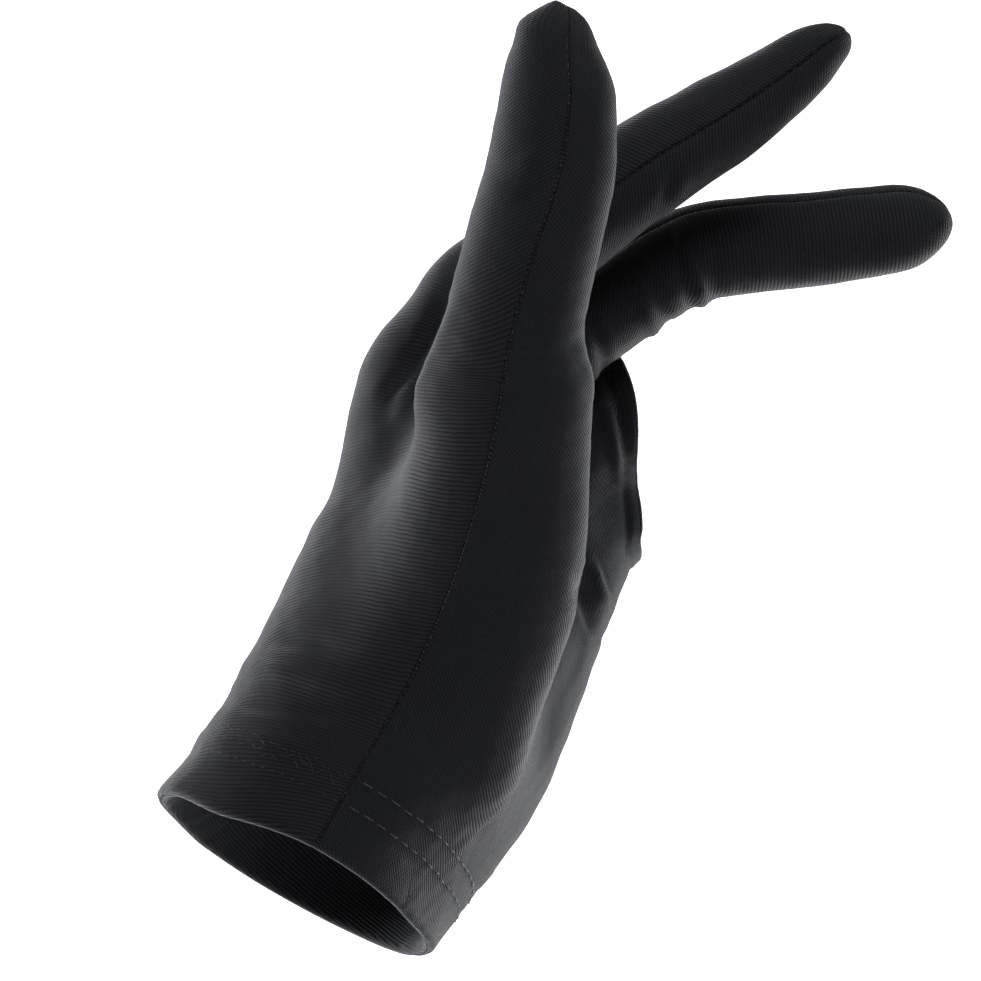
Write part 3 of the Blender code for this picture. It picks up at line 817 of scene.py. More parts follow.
def pushed(points: np.ndarray) -> np.ndarray:
    """Points after all the pushes."""
    seen = seen_from_front(points)
    return points + sum(push.shift(seen) for push in PUSHES)


@dataclass(frozen=True)
class Dent:
    """A groove or a ridge that sewing leaves beside a line, metres."""

    away: float
    width: float
    height: float

    def lift(self, gap: np.ndarray) -> np.ndarray:
        """How far the dent raises points that lie a gap from its line."""
        return self.height * bell(gap, self.away, self.width)


@dataclass(frozen=True)
class Band:
    """Cloth raised by the hem behind it, with a soft step at the end, metres."""

    start: float
    end: float
    height: float

    def lift(self, gap: np.ndarray) -> np.ndarray:
        """How far the band raises points that lie a gap from the hem's edge."""
        return self.height * (1.0 - ease(self.start, self.end, gap))


SEAM_RELIEF = (Dent(0.0016, 0.0009, 0.000036), Dent(0.0, 0.0006, -0.00024))
OPENING_RELIEF = (Band(0.0016, 0.0024, 0.00015), Dent(OPENING_ROW, 0.0008, -0.00025))
CUFF_RELIEF = (Band(CUFF_HEM_DEPTH - 0.0008, CUFF_HEM_DEPTH + 0.0006, 0.0002),
               *(Dent(depth, 0.0006, -0.00016) for depth in CUFF_ROWS))


@dataclass(frozen=True)
class Edge:
    """How a cloth edge is rolled under and turned in."""

    radius: float = 0.00115
    cloth: float = 0.0010

    def roll(self, edge: np.ndarray, outward: np.ndarray, normals: np.ndarray,
             degrees: Iterable[float]) -> np.ndarray:
        """Rows of points round the roll.

        Args:
            edge: the row where the roll starts, on the cloth's outer surface.
            outward: direction past the edge for each of its points.
            normals: outer normals at the edge.
            degrees: how far round the roll each row lies.

        Returns:
            The rows, one for each angle.
        """
        rows = []
        for angle in np.radians(list(degrees)):
            rows.append(edge + self.radius * (np.sin(angle) * outward
                                              - (1 - np.cos(angle)) * normals))
        return np.array(rows)


def add_object(name: str, data: bpy.types.ID) -> bpy.types.Object:
    """A new object, put in the scene."""
    piece = bpy.data.objects.new(name, data)
    bpy.context.scene.collection.objects.link(piece)
    return piece


class ClothMesh:
    """Welded grids of cloth, with two values at each point for the knit's lines."""

    def __init__(self) -> None:
        """Start with no points."""
        self.points: list[np.ndarray] = []
        self.values: list[np.ndarray] = []
        self.faces: list[list[int]] = []
        self.numbers: dict[tuple[int, ...], int] = {}

    def number(self, point: np.ndarray, value: Optional[np.ndarray] = None) -> int:
        """Number of a point, added once.

        Args:
            point: its place.
            value: its rib and across values, kept where the point is new.

        Returns:
            The number, the same for every point within a thousandth of a millimetre.
        """
        key = tuple(np.round(point * 1e6).astype(int))
        if key not in self.numbers:
            self.numbers[key] = len(self.points)
            self.points.append(point)
            self.values.append(np.zeros(2) if value is None else value)
        return self.numbers[key]

    def add_grid(self, grid: np.ndarray, values: np.ndarray) -> None:
        """Add a grid as faces of four sides, or three where corners fall together.

        Args:
            grid: rows of points.
            values: rib and across value of each point.
        """
        ids = [[self.number(p, v) for p, v in zip(*rows)] for rows in zip(grid, values)]
        for low, high in zip(ids, ids[1:]):
            for corners in zip(low, low[1:], high[1:], high):
                face = list(dict.fromkeys(corners))
                if len(face) > 2:
                    self.faces.append(face)

    def relax(self, form: Form, pinned: set[int], passes: int) -> None:
        """Even out the cloth on the form, away from its pinned points.

        Args:
            form: the form that the cloth stays on.
            pinned: numbers of the points that keep their place, as do their neighbours.
            passes: how often the points are moved.
        """
        data = np.hstack([np.array(self.points), np.array(self.values)])
        pairs = {(a, b) for face in self.faces for a, b in zip(face, face[1:] + face[:1])}
        edges = np.array(sorted(pairs | {(b, a) for a, b in pairs}))
        degree = np.bincount(edges[:, 0], minlength=len(data))[:, None]
        fixed = np.zeros(len(data), bool)
        fixed[list(pinned)] = True
        fixed[edges[fixed[edges[:, 1]], 0]] = True
        for _ in range(passes):
            total = np.zeros_like(data)
            np.add.at(total, edges[:, 0], data[edges[:, 1]])
            data[~fixed] = (data + total / degree)[~fixed] / 2
            data[~fixed, :3] = form.settle(data[~fixed, :3])
        self.points, self.values = list(data[:, :3]), list(data[:, 3:])

    def face_along(self, directions: np.ndarray) -> None:
        """Turn all the faces over if most look the wrong way.

        Args:
            directions: where the cloth looks at each of its points.
        """
        p = np.array(self.points)
        a, b, c = (np.array([face[i] for face in self.faces]) for i in range(3))
        total = (np.cross(p[b] - p[a], p[c] - p[b]) * directions[a]).sum()
        if total < 0:
            self.faces = [face[::-1] for face in self.faces]

    def to_object(self, name: str) -> bpy.types.Object:
        """The cloth as an object.

        Args:
            name: name of the object and its mesh.

        Returns:
            A mesh object with the two values as attributes.
        """
        mesh = bpy.data.meshes.new(name)
        mesh.from_pydata(np.array(self.points).tolist(), [], self.faces)
        for i, title in enumerate(("rib", "across")):
            layer = mesh.attributes.new(title, "FLOAT", "POINT")
            layer.data.foreach_set("value", np.array(self.values)[:, i].astype(np.float32))
        return add_object(name, mesh)


def read_points(piece: bpy.types.Object) -> np.ndarray:
    """Points of a mesh object as an array."""
    values = np.empty(len(piece.data.vertices) * 3)
    piece.data.vertices.foreach_get("co", values)
    return values.reshape(-1, 3)


def write_points(piece: bpy.types.Object, points: np.ndarray) -> None:
    """Move the points of a mesh object."""
    piece.data.vertices.foreach_set("co", points.ravel())
    piece.data.update()


def subdivide(piece: bpy.types.Object) -> None:
    """Split and smooth a mesh once, for good."""
    modifier = piece.modifiers.new("Smooth", "SUBSURF")
    modifier.levels = 1
    shown = piece.evaluated_get(bpy.context.evaluated_depsgraph_get())
    coarse, fine = piece.data, bpy.data.meshes.new_from_object(shown)
    piece.modifiers.clear()
    piece.data = fine
    bpy.data.meshes.remove(coarse)


def thicken(piece: bpy.types.Object, thickness: float) -> None:
    """Give a sheet its wall, on the side away from its faces, and shade it smoothly."""
    wall = piece.modifiers.new("Wall", "SOLIDIFY")
    wall.thickness, wall.offset = thickness, -1.0
    piece.data.shade_smooth()


@dataclass(frozen=True)
class KnitLines:
    """How far the knit's ribs lean across the cloth, on the hand and on each finger."""

    hand: float = 0.25
    thumb: float = 0.77
    index: float = 0.53
    middle: float = 0.05
    settle_length: float = 0.034

    def values(self, grids: dict[str, np.ndarray]) -> dict[str, np.ndarray]:
        """Rib and across values for every point of a panel's grids.

        Args:
            grids: the panel's grids of points.

        Returns:
            For each grid, the two values at each of its points, metres.
        """
        def across(grid: np.ndarray) -> np.ndarray:
            """Length along each row from its first point."""
            return run_lengths(grid.swapaxes(0, 1)).T

        def along(grid: np.ndarray) -> np.ndarray:
            """Mean length up to each row from the first one."""
            return run_lengths(grid).mean(1, keepdims=True)

        result = {}
        hand, knuckles = grids["hand"], grids["knuckles"]
        u, v = across(hand), along(hand)
        result["hand"] = np.stack([v + self.hand * u, u], -1)
        first = hand.shape[1] - knuckles.shape[1]
        u, v = u[-1, first] + across(knuckles), v[-1] + along(knuckles)
        result["knuckles"] = np.stack([v + self.hand * u, u], -1)
        count = grids["thumb"].shape[1]
        roots = {"thumb": result["hand"][-1, :count], "index": result["knuckles"][-1, :count],
                 "middle": result["knuckles"][-1, count - 1:2 * count - 1]}
        for name, root in roots.items():
            u, v = across(grids[name]), along(grids[name])
            u = u - u[:, count // 2][:, None]
            free = root[count // 2, 0] + v + getattr(self, name) * u
            fade = ease(0.0, self.settle_length, v)
            rib = fade * free + (1.0 - fade) * (root[:, 0] + v)
            result[name] = np.stack([rib, root[count // 2, 1] + u], -1)
            result[name][0] = root
        return result


class Sight:
    """Tells which places of the cloth are seen from the front."""

    SLACK = 0.0015
    PASSES = 14

    def __init__(self, panels: Iterable["Panel"]) -> None:
        """Gather the grids of the panels in one search tree.

        Args:
            panels: both panels, laid.
        """
        cloth = ClothMesh()
        for panel in panels:
            for grid in panel.grids.values():
                cloth.add_grid(grid, grid[..., :2])
        self.tree = BVHTree.FromPolygons([tuple(p) for p in cloth.points], cloth.faces)

    def of(self, piece: bpy.types.Object, points: np.ndarray) -> np.ndarray:
        """How far each point of a piece is seen.

        Args:
            piece: the mesh object.
            points: its points.

        Returns:
            1 where the cloth is seen, 0 where it is hidden, with a soft edge between.
        """
        rays = points - VIEWPOINT
        reach = np.linalg.norm(rays, axis=1) - self.SLACK
        seen = np.array([self.tree.ray_cast(VIEWPOINT, ray, length)[0] is None
                         for ray, length in zip(rays.tolist(), reach.tolist())], float)
        edges = np.empty(len(piece.data.edges) * 2, np.int32)
        piece.data.edges.foreach_get("vertices", edges)
        a, b = edges.reshape(-1, 2).T
        degree = np.bincount(np.concatenate([a, b]), minlength=len(points))
        for _ in range(self.PASSES):
            total = np.bincount(a, seen[b], len(points)) + np.bincount(b, seen[a], len(points))
            seen = (seen + total / degree) / 2
        return ease(0.05, 0.45, seen)


@dataclass
class Panel:
    """One knitted panel of the glove, worn."""

    role: Role
    side: Side
    form: Form
    plan: ClothPlan
    edge: Edge = field(default_factory=Edge)
    lines: KnitLines = field(default_factory=KnitLines)
    roll: tuple[float, ...] = (0.0, 30.0, 60.0, 90.0)
    grids: dict[str, np.ndarray] = field(default_factory=dict)
    surface: Optional[bpy.types.Object] = None

    @property
    def rim_start(self) -> int:
        """Column where the two-finger opening starts on the rows over the knuckles."""
        return 4 * (len(self.plan.shares) - 1)

    def lay(self) -> None:
        """Lay the grids of cloth over the form."""
        self.grids = PanelCloth(self.form, self.side, self.plan).grids()

    def cuff_row(self) -> tuple[np.ndarray, np.ndarray, np.ndarray]:
        """The panel's part of the wrist edge.

        Returns:
            Its points, the directions past it, and its outer normals.
        """
        row = self.grids["hand"][0]
        normals = self.form.outward(row)
        axis = self.form.cuff_axis
        normals = unit(normals - (normals @ axis)[:, None] * axis)
        return row, np.broadcast_to(-axis, row.shape), normals

    def rim_row(self) -> tuple[np.ndarray, np.ndarray, np.ndarray]:
        """The panel's part of the two-finger opening's edge.

        Returns:
            Its points, the directions past it, and its outer normals.
        """
        rows = self.grids["knuckles"][-3:, self.rim_start:]
        normals = self.form.outward(rows[-1])
        past = rows[-1] - rows[0]
        past = unit(past - (past * normals).sum(1)[:, None] * normals)
        return rows[-1], past, normals

    def seam_lines(self) -> list[np.ndarray]:
        """The panel's seam.

        Returns:
            Lines of outer surface points, one for each stretch between edges and tips.
        """
        hand, knuckles = self.grids["hand"], self.grids["knuckles"]
        thumb, index, middle = (self.grids[n] for n in ("thumb", "index", "middle"))
        return [
            np.concatenate([hand[:, 0], thumb[1:, 0]]),
            np.concatenate([thumb[::-1, -1], knuckles[1:, 0], index[1:, 0]]),
            np.concatenate([index[::-1, -1], middle[1:, 0]]),
            middle[::-1, -1],
            np.concatenate([hand[:, -1], knuckles[1:, -1]]),
        ]

    def above_cuff(self, depth: float, first: int, last: int) -> np.ndarray:
        """A line across some of the panel's columns, a set depth above the wrist edge."""
        return line_at_depth(self.grids["hand"][:, first:last], depth)

    def beside_opening(self, depth: float) -> np.ndarray:
        """A line beside the opening's edge, a set depth from it."""
        return line_at_depth(self.grids["knuckles"][::-1, self.rim_start + 2:], depth)

    def build(self, sight: Sight) -> bpy.types.Object:
        """Weld, relax, smooth and fold the panel.

        Args:
            sight: tells which cloth is seen from the front.

        Returns:
            The panel's object.
        """
        cloth = ClothMesh()
        values = self.lines.values(self.grids)
        for name, grid in self.grids.items():
            cloth.add_grid(grid, values[name])
        seam = [p for grid in self.grids.values() for p in (*grid[:, 0], *grid[:, -1])]
        edges = [*seam, *self.grids["hand"][0], *self.grids["knuckles"][-1]]
        pinned = {cloth.number(p) for p in edges}
        cloth.relax(self.form, pinned, self.plan.spread_passes)
        arc = self.edge.radius * np.radians(self.roll)[:, None]
        for row, value, step in ((self.cuff_row(), values["hand"][0], -1),
                                 (self.rim_row(), values["knuckles"][-1, self.rim_start:], 1)):
            rolled = self.edge.roll(*row, self.roll)
            rolled[0] = row[0]
            lean = np.stack(np.broadcast_arrays(value[:, 0] - arc, value[:, 1]), -1)
            cloth.add_grid(rolled[::step], lean[::step])
        cloth.face_along(self.form.outward(np.array(cloth.points)))
        piece = self.surface = cloth.to_object(self.role.value)
        subdivide(piece)
        write_points(piece, self.folded(read_points(piece), sight))
        log.info("%s: %d points", piece.name, len(piece.data.vertices))
        return piece

    def folded(self, points: np.ndarray, sight: Sight) -> np.ndarray:
        """Raise and sink the cloth by its seam, hems, folds and ripples.

        Args:
            points: the panel's points, smooth.
            sight: tells which cloth is seen from the front.

        Returns:
            The points moved. The closeness of each to the seam is kept on the mesh.
        """
        normals = self.form.outward(points)
        seam = np.concatenate([resample(line, 0.3 * MM) for line in self.seam_lines()])
        to_seam = gaps_to_line(points, seam)
        to_rim = gaps_to_line(points, resample(self.rim_row()[0], 0.3 * MM))
        to_cuff = (points - self.grids["hand"][0].mean(0)) @ self.form.cuff_axis
        near_seam = np.maximum(SEAM_REACH - to_seam, 0.0)
        layer = self.surface.data.attributes.new("seam", "FLOAT", "POINT")
        layer.data.foreach_set("value", near_seam.astype(np.float32))
        lift = sum(form.lift(gap) for gap, relief in (
            (to_seam, SEAM_RELIEF), (to_rim, OPENING_RELIEF), (to_cuff, CUFF_RELIEF))
            for form in relief)
        seen = seen_from_front(points)
        lift += sight.of(self.surface, points) * sum(fold.lift(seen, -normals[:, 1])
                                                     for fold in FOLDS)
        return pushed(points + normals * (lift + ripples(points))[:, None])


def ripples(points: np.ndarray) -> np.ndarray:
    """Gentle unevenness of worn cloth.

    Args:
        points: the points, one a row.

    Returns:
        The rise of each point, metres.
    """
    p = points / MM
    waves = (
        0.10 * np.sin(p @ (0.31, 0.12, 0.22) + 1.0) * np.sin(p @ (-0.15, 0.21, 0.28)),
        0.06 * np.sin(p @ (0.55, -0.33, 0.41) + 2.1) * np.sin(p @ (0.23, 0.61, -0.52) + 0.4),
        0.03 * np.sin(p @ (1.15, 0.72, -0.93) + 0.7) * np.sin(p @ (-0.81, 0.55, 1.21) + 1.9),
    )
    return sum(waves) * MM


@dataclass
class Hem:
    """A band of cloth turned in behind an edge of both panels."""

    role: Role
    back: Panel
    palm: Panel
    depth: float
    closed: bool
    edge: Edge = field(default_factory=Edge)
    roll: tuple[float, ...] = (90.0, 115.0, 140.0, 165.0, 180.0)
    flat_start: float = 0.0004
    rib_lean: float = 0.2

    def _half(self, panel: Panel) -> np.ndarray:
        """One panel's half of the band.

        Args:
            panel: the back or the palm panel.

        Returns:
            Rows of points, the rolled edge first.
        """
        if self.closed:
            row, past, normals = panel.cuff_row()
            rows = panel.grids["hand"]
        else:
            row, past, normals = panel.rim_row()
            rows = panel.grids["knuckles"][::-1, panel.rim_start:]
        reach = run_lengths(rows).mean(1)
        behind = rows[(reach > self.flat_start) & (reach < self.depth)]
        rolled = self.edge.roll(row, past, normals, self.roll)
        inner = [r - 2 * self.edge.radius * panel.form.outward(r) for r in behind]
        return np.concatenate([rolled, np.array(inner)])

    def build(self) -> bpy.types.Object:
        """Join the two halves into one band.

        Returns:
            The band's object.
        """
        back, palm = self._half(self.back), self._half(self.palm)
        grid = np.concatenate([back, palm[:, -2::-1]], 1)
        across, down = run_lengths(grid[0]), run_lengths(grid).mean(1, keepdims=True)
        values = np.stack(np.broadcast_arrays(down + self.rib_lean * across, across), -1)
        cloth = ClothMesh()
        cloth.add_grid(grid, values)
        cloth.face_along(-self.back.form.outward(np.array(cloth.points)))
        piece = cloth.to_object(self.role.value)
        subdivide(piece)
        points = read_points(piece)
        outward = self.back.form.outward(points)
        write_points(piece, pushed(points + outward * ripples(points)[:, None]))
        log.info("%s: %d points", piece.name, len(piece.data.vertices))
        return piece


@dataclass(frozen=True)
class Thread:
    """A sewing thread and how its stitches are set, metres.

    scatter is how far stitches stray sideways, twist how far they turn, a share of length.
    """

    radius: float
    length: float
    gap: float
    rise: float
    scatter: float = 0.0
    twist: float = 0.0


class Stitching:
    """Rows of short thread stitches that lie on the cloth.

    SHAPE holds a stitch's five rings: share of its length, rise and width as shares.
    """

    SIDES = 6
    STEP = 0.0001
    SHAPE = ((0.0, -1.0, 0.6), (0.15, 0.35, 1.0), (0.5, 1.0, 1.1), (0.85, 0.35, 1.0),
             (1.0, -1.0, 0.6))

    def __init__(self, name: str, thread: Thread, seed: int) -> None:
        """Start a piece with no stitches.

        Args:
            name: the piece's name.
            thread: the thread all its stitches are made of.
            seed: fixes the unevenness of the stitches.
        """
        self.name, self.thread = name, thread
        self.random = np.random.default_rng(seed)
        self.points: list[np.ndarray] = []
        self.faces: list[tuple[int, ...]] = []

    def _stitch(self, line: np.ndarray, normals: np.ndarray) -> None:
        """Add one stitch.

        Args:
            line: five points on the cloth.
            normals: the cloth's normals there.
        """
        start = len(self.points) * self.SIDES
        tangent = unit(np.gradient(line, axis=0))
        side = unit(np.cross(tangent, normals))
        for (_, rise, width), p, s, n in zip(self.SHAPE, line, side, normals):
            middle = p + n * rise * self.thread.rise
            angle = np.arange(self.SIDES) * 2 * np.pi / self.SIDES
            ring = np.cos(angle)[:, None] * s + np.sin(angle)[:, None] * n
            self.points.append(middle + self.thread.radius * width * ring)
        for k in range(len(self.SHAPE) - 1):
            for i in range(self.SIDES):
                j = (i + 1) % self.SIDES
                low, high = start + k * self.SIDES, start + (k + 1) * self.SIDES
                self.faces.append((low + i, high + i, high + j, low + j))
        last = start + (len(self.SHAPE) - 1) * self.SIDES
        self.faces.append(tuple(start + i for i in range(self.SIDES)))
        self.faces.append(tuple(last + i for i in reversed(range(self.SIDES))))

    def add_row(self, path: np.ndarray, cover: "Cover") -> None:
        """Stitches along a path, laid on the cloth.

        Args:
            path: points near the cloth.
            cover: finds the cloth under a point.
        """
        line = resample(pushed(path), self.STEP)
        pitch = self.thread.length + self.thread.gap
        shares = np.array([s[0] for s in self.SHAPE])
        for k in range(int((len(line) - 1) * self.STEP / pitch)):
            jitter = self.random.normal(0.0, 1.0, 3)
            begin = k * pitch + jitter[0] * self.thread.scatter * 0.2
            at = np.clip((begin + shares * self.thread.length) / self.STEP, 0, len(line) - 1)
            points = np.stack([np.interp(at, np.arange(len(line)), c) for c in line.T], 1)
            if self.thread.scatter:
                _, normal = cover.under(points[2])
                sideways = unit(np.cross(points[-1] - points[0], normal))
                lean = np.linspace(-1, 1, len(points))[:, None] * jitter[1] * self.thread.twist
                points = points + sideways * (jitter[2] * self.thread.scatter
                                              + lean * self.thread.length)
            found = [cover.under(p) for p in points]
            self._stitch(np.array([f[0] for f in found]), np.array([f[1] for f in found]))

    def build(self) -> bpy.types.Object:
        """Make the piece.

        Returns:
            All the stitches as one object.
        """
        mesh = bpy.data.meshes.new(self.name)
        mesh.from_pydata(np.concatenate(self.points).tolist(), [], self.faces)
        mesh.shade_smooth()
        log.info("%s: %d stitches", self.name, len(self.points) // len(self.SHAPE))
        return add_object(self.name, mesh)


class Cover:
    """The cloth's outer surface, for laying stitches on it."""

    def __init__(self, pieces: Iterable[bpy.types.Object]) -> None:
        """Gather the faces in one search tree.

        Args:
            pieces: the panels' objects, before they get their wall.
        """
        points: list[tuple[float, ...]] = []
        faces: list[tuple[int, ...]] = []
        for piece in pieces:
            start = len(points)
            points += [tuple(v.co) for v in piece.data.vertices]
            faces += [tuple(i + start for i in f.vertices) for f in piece.data.polygons]
        self.tree = BVHTree.FromPolygons(points, faces)

    def under(self, point: np.ndarray) -> tuple[np.ndarray, np.ndarray]:
        """The nearest place on the cloth and its normal."""
        place, normal, _, _ = self.tree.find_nearest(point.tolist())
        return np.array(place), np.array(normal)


class Graph:
    """Builds a node tree with few words."""

    def __init__(self, tree: bpy.types.NodeTree) -> None:
        """Work on a node tree."""
        self.tree = tree

    def node(self, kind: str, **settings: object) -> bpy.types.Node:
        """A new node.

        Args:
            kind: the node's type.
            settings: its properties by name.

        Returns:
            The node.
        """
        node = self.tree.nodes.new(kind)
        for name, value in settings.items():
            setattr(node, name, value)
        return node

    def feed(self, node: bpy.types.Node, values: dict[str | int, object]) -> None:
        """Fill a node's inputs.

        Args:
            node: the node.
            values: for each input a socket, which is linked, or a constant, which is set.
        """
        for title, value in values.items():
            if isinstance(value, bpy.types.NodeSocket):
                self.tree.links.new(value, node.inputs[title])
            else:
                node.inputs[title].default_value = value

    def math(self, operation: str, *values: object) -> bpy.types.NodeSocket:
        """Result of a math node.

        Args:
            operation: the node's operation.
            values: sockets or numbers.

        Returns:
            The result's socket.
        """
        node = self.node("ShaderNodeMath", operation=operation)
        self.feed(node, dict(enumerate(values)))
        return node.outputs[0]

    def noise(self, scale: float, detail: float = 2.0) -> bpy.types.NodeSocket:
        """Solid noise in the piece's own space.

        Args:
            scale: waves a metre.
            detail: how many finer layers it has.

        Returns:
            The noise's socket, 0 to 1.
        """
        place = self.node("ShaderNodeTexCoord")
        node = self.node("ShaderNodeTexNoise")
        self.feed(node, {"Vector": place.outputs["Object"], "Scale": scale, "Detail": detail})
        return node.outputs["Fac"]

    def attribute(self, name: str) -> bpy.types.NodeSocket:
        """A value kept on the mesh's points."""
        return self.node("ShaderNodeAttribute", attribute_name=name).outputs["Fac"]

    def ramp(self, value: bpy.types.NodeSocket, ends: Sequence[Sequence[float]],
             span: tuple[float, float] = (0.0, 1.0)) -> bpy.types.NodeSocket:
        """A colour that follows a value.

        Args:
            value: the value's socket.
            ends: the colour at each of the two ends.
            span: the values at which they are reached.

        Returns:
            The colour's socket.
        """
        node = self.node("ShaderNodeValToRGB")
        for i, (place, colour) in enumerate(zip(span, ends)):
            node.color_ramp.elements[i].position = place
            node.color_ramp.elements[i].color = (*colour, 1.0)
        self.feed(node, {"Fac": value})
        return node.outputs["Color"]

    def bump(self, height: bpy.types.NodeSocket, strength: float, distance: float
             ) -> bpy.types.NodeSocket:
        """A normal bent by a height.

        Args:
            height: the height's socket.
            strength: share of the effect.
            distance: depth of the height, metres.

        Returns:
            The normal's socket.
        """
        node = self.node("ShaderNodeBump")
        self.feed(node, {"Height": height, "Strength": strength, "Distance": distance})
        return node.outputs["Normal"]


def new_finish(name: str) -> tuple[bpy.types.Material, Graph, bpy.types.Node]:
    """A material, its graph and its shader."""
    finish = bpy.data.materials.new(name)
    finish.use_nodes = True
    return finish, Graph(finish.node_tree), finish.node_tree.nodes["Principled BSDF"]


@dataclass(frozen=True)
class RibbedKnit:
    """The knit's ribs, loops and fuzz, shared by every cloth material.

    pitch, loop and seam_edges are metres, scales are waves a metre, and the others are
    shares of a rib's height or of a rib's pitch. The colour follows the height, so it holds
    painted shade in the rib hollows and the seam groove, mixed with random wear.
    """

    pitch: float = 0.00075
    loop: float = 0.00062
    wobble: float = 0.55
    roundness: float = 0.75
    loop_depth: float = 0.14
    fuzz: float = 0.22
    # seam_depth sinks the seam in the bump and also darkens the colour there: painted shade in the
    # seam groove.
    seam_depth: float = 1.3
    seam_edges: tuple[float, float] = (0.00045, 0.00005)
    wear: float = 0.35
    wobble_scale: float = 240.0
    fuzz_scale: float = 5200.0
    wear_scale: float = 38.0
    # The colour ramp runs from painted shade in the rib hollows and the seam groove to the rib tops;
    # random wear also moves along it.
    hollow_shade_and_top_colours: tuple[tuple[float, ...], ...] = ((0.0030, 0.0033, 0.0042), (0.0200, 0.0212, 0.0245))

    def group(self) -> bpy.types.NodeTree:
        """The node group, built once.

        Returns:
            A group with a colour that holds painted shade in the hollows, a roughness and a height.
        """
        name = "Ribbed knit"
        if name in bpy.data.node_groups:
            return bpy.data.node_groups[name]
        tree = bpy.data.node_groups.new(name, "ShaderNodeTree")
        for title, kind in (("Color", "NodeSocketColor"), ("Roughness", "NodeSocketFloat"),
                            ("Height", "NodeSocketFloat")):
            tree.interface.new_socket(title, in_out="OUTPUT", socket_type=kind)
        g = Graph(tree)
        fibre = g.noise(self.fuzz_scale, 3.0)
        height = self._height(g, fibre)
        # The colour mixes random wear with the height: painted shade in the rib hollows and the seam
        # groove.
        wear_and_hollow_shade = g.math("MULTIPLY_ADD", g.noise(self.wear_scale, 4.0), self.wear,
                      g.math("MULTIPLY", height, 1.0 - self.wear))
        g.feed(g.node("NodeGroupOutput"), {
            "Color": g.ramp(wear_and_hollow_shade, self.hollow_shade_and_top_colours, (0.15, 0.95)),
            "Roughness": g.math("MULTIPLY_ADD", fibre, 0.2, 0.68),
            "Height": height,
        })
        return tree

    def _height(self, g: Graph, fibre: bpy.types.NodeSocket) -> bpy.types.NodeSocket:
        """Height of the knit: rounded ribs, the loops along them, fuzz and the seam.

        Args:
            g: the group's graph.
            fibre: fine noise.

        Returns:
            The height's socket, 1 on a rib's top; the colour follows it as painted shade.
        """
        wobble = g.math("SUBTRACT", g.noise(self.wobble_scale), 0.5)
        wobble = g.math("MULTIPLY", wobble, self.wobble)
        phase = g.math("ADD", g.math("DIVIDE", g.attribute("rib"), self.pitch), wobble)
        ridge = g.math("ABSOLUTE", g.math("SINE", g.math("MULTIPLY", phase, math.pi)))
        ridge = g.math("POWER", ridge, self.roundness)
        half = g.math("MULTIPLY", g.math("FLOOR", phase), 0.5)
        turn = g.math("ADD", g.math("DIVIDE", g.attribute("across"), self.loop), half)
        loops = g.math("SINE", g.math("MULTIPLY", turn, 2 * math.pi))
        loops = g.math("MULTIPLY_ADD", loops, self.loop_depth, 1.0 - self.loop_depth)
        near = g.node("ShaderNodeMapRange", interpolation_type="SMOOTHSTEP")
        wide, narrow = self.seam_edges
        g.feed(near, {"Value": g.attribute("seam"), "From Min": SEAM_REACH - wide,
                      "From Max": SEAM_REACH - narrow})
        height = g.math("MULTIPLY_ADD", fibre, self.fuzz, g.math("MULTIPLY", ridge, loops))
        # The dip at the seam also darkens the colour: painted shade in the seam groove.
        return g.math("MULTIPLY_ADD", near.outputs["Result"], -self.seam_depth, height)


@dataclass(frozen=True)
class KnitFinish:
    """Black stretch knit with a soft sheen at grazing angles."""

    name: str
    sheen: float = 0.20
    bump: float = 0.00016

    def build(self) -> bpy.types.Material:
        """Make the material.

        Returns:
            The material.
        """
        finish, g, shader = new_finish(self.name)
        knit = g.node("ShaderNodeGroup", node_tree=RibbedKnit().group())
        g.feed(shader, {
            # The base colour holds painted shade in the rib hollows and the seam groove.
            "Base Color": knit.outputs["Color"],
            "Roughness": knit.outputs["Roughness"],
            "Specular IOR Level": 0.05,
            "Sheen Weight": self.sheen,
            "Sheen Roughness": 0.28,
            "Sheen Tint": (0.90, 0.93, 1.0, 1.0),
            "Normal": g.bump(knit.outputs["Height"], 0.85, self.bump),
        })
        return finish


@dataclass(frozen=True)
class ThreadFinish:
    """Twisted sewing thread."""

    name: str
    dark: tuple[float, float, float]
    light: tuple[float, float, float]

    def build(self) -> bpy.types.Material:
        """Make the material.

        Returns:
            The material.
        """
        finish, g, shader = new_finish(self.name)
        ply = g.noise(2600.0, 2.0)
        g.feed(shader, {
            "Base Color": g.ramp(ply, (self.dark, self.light), (0.35, 0.65)),
            "Roughness": 0.6,
            "Specular IOR Level": 0.25,
            "Normal": g.bump(ply, 0.5, 0.00005),
        })
        return finish


@dataclass(frozen=True)
class StageFinish:
    """Matt pale surface of the floor and the backdrop, with a faint glow."""

    name: str = "Pale matt board"
    glow: float = 0.80

    def build(self) -> bpy.types.Material:
        """Make the material.

        Returns:
            The material.
        """
        finish, g, shader = new_finish(self.name)
        colour = g.ramp(g.noise(3.0), ((0.915, 0.915, 0.915), (0.925, 0.925, 0.925)))
        path = g.node("ShaderNodeLightPath")
        g.feed(shader, {
            "Base Color": colour,
            "Roughness": 0.9,
            "Emission Color": colour,
            "Emission Strength": g.math("MULTIPLY", path.outputs["Is Camera Ray"], self.glow),
        })
        return finish


@dataclass(frozen=True)
class SoftBox:
    """A soft studio light aimed at the glove."""

    name: str
    place: tuple[float, float, float]
    size: float
    watts: float
    target: tuple[float, float, float] = (0.04, 0.0, 0.07)

    def build(self) -> bpy.types.Object:
        """Make the light.

        Returns:
            The light's object, turned to its target.
        """
        light = bpy.data.lights.new(self.name, "AREA")
        light.size, light.energy = self.size, self.watts
        piece = add_object(self.name, light)
        piece.location = self.place
        aim = Vector(self.target) - Vector(self.place)
        piece.rotation_euler = aim.to_track_quat("-Z", "Y").to_euler()
        return piece


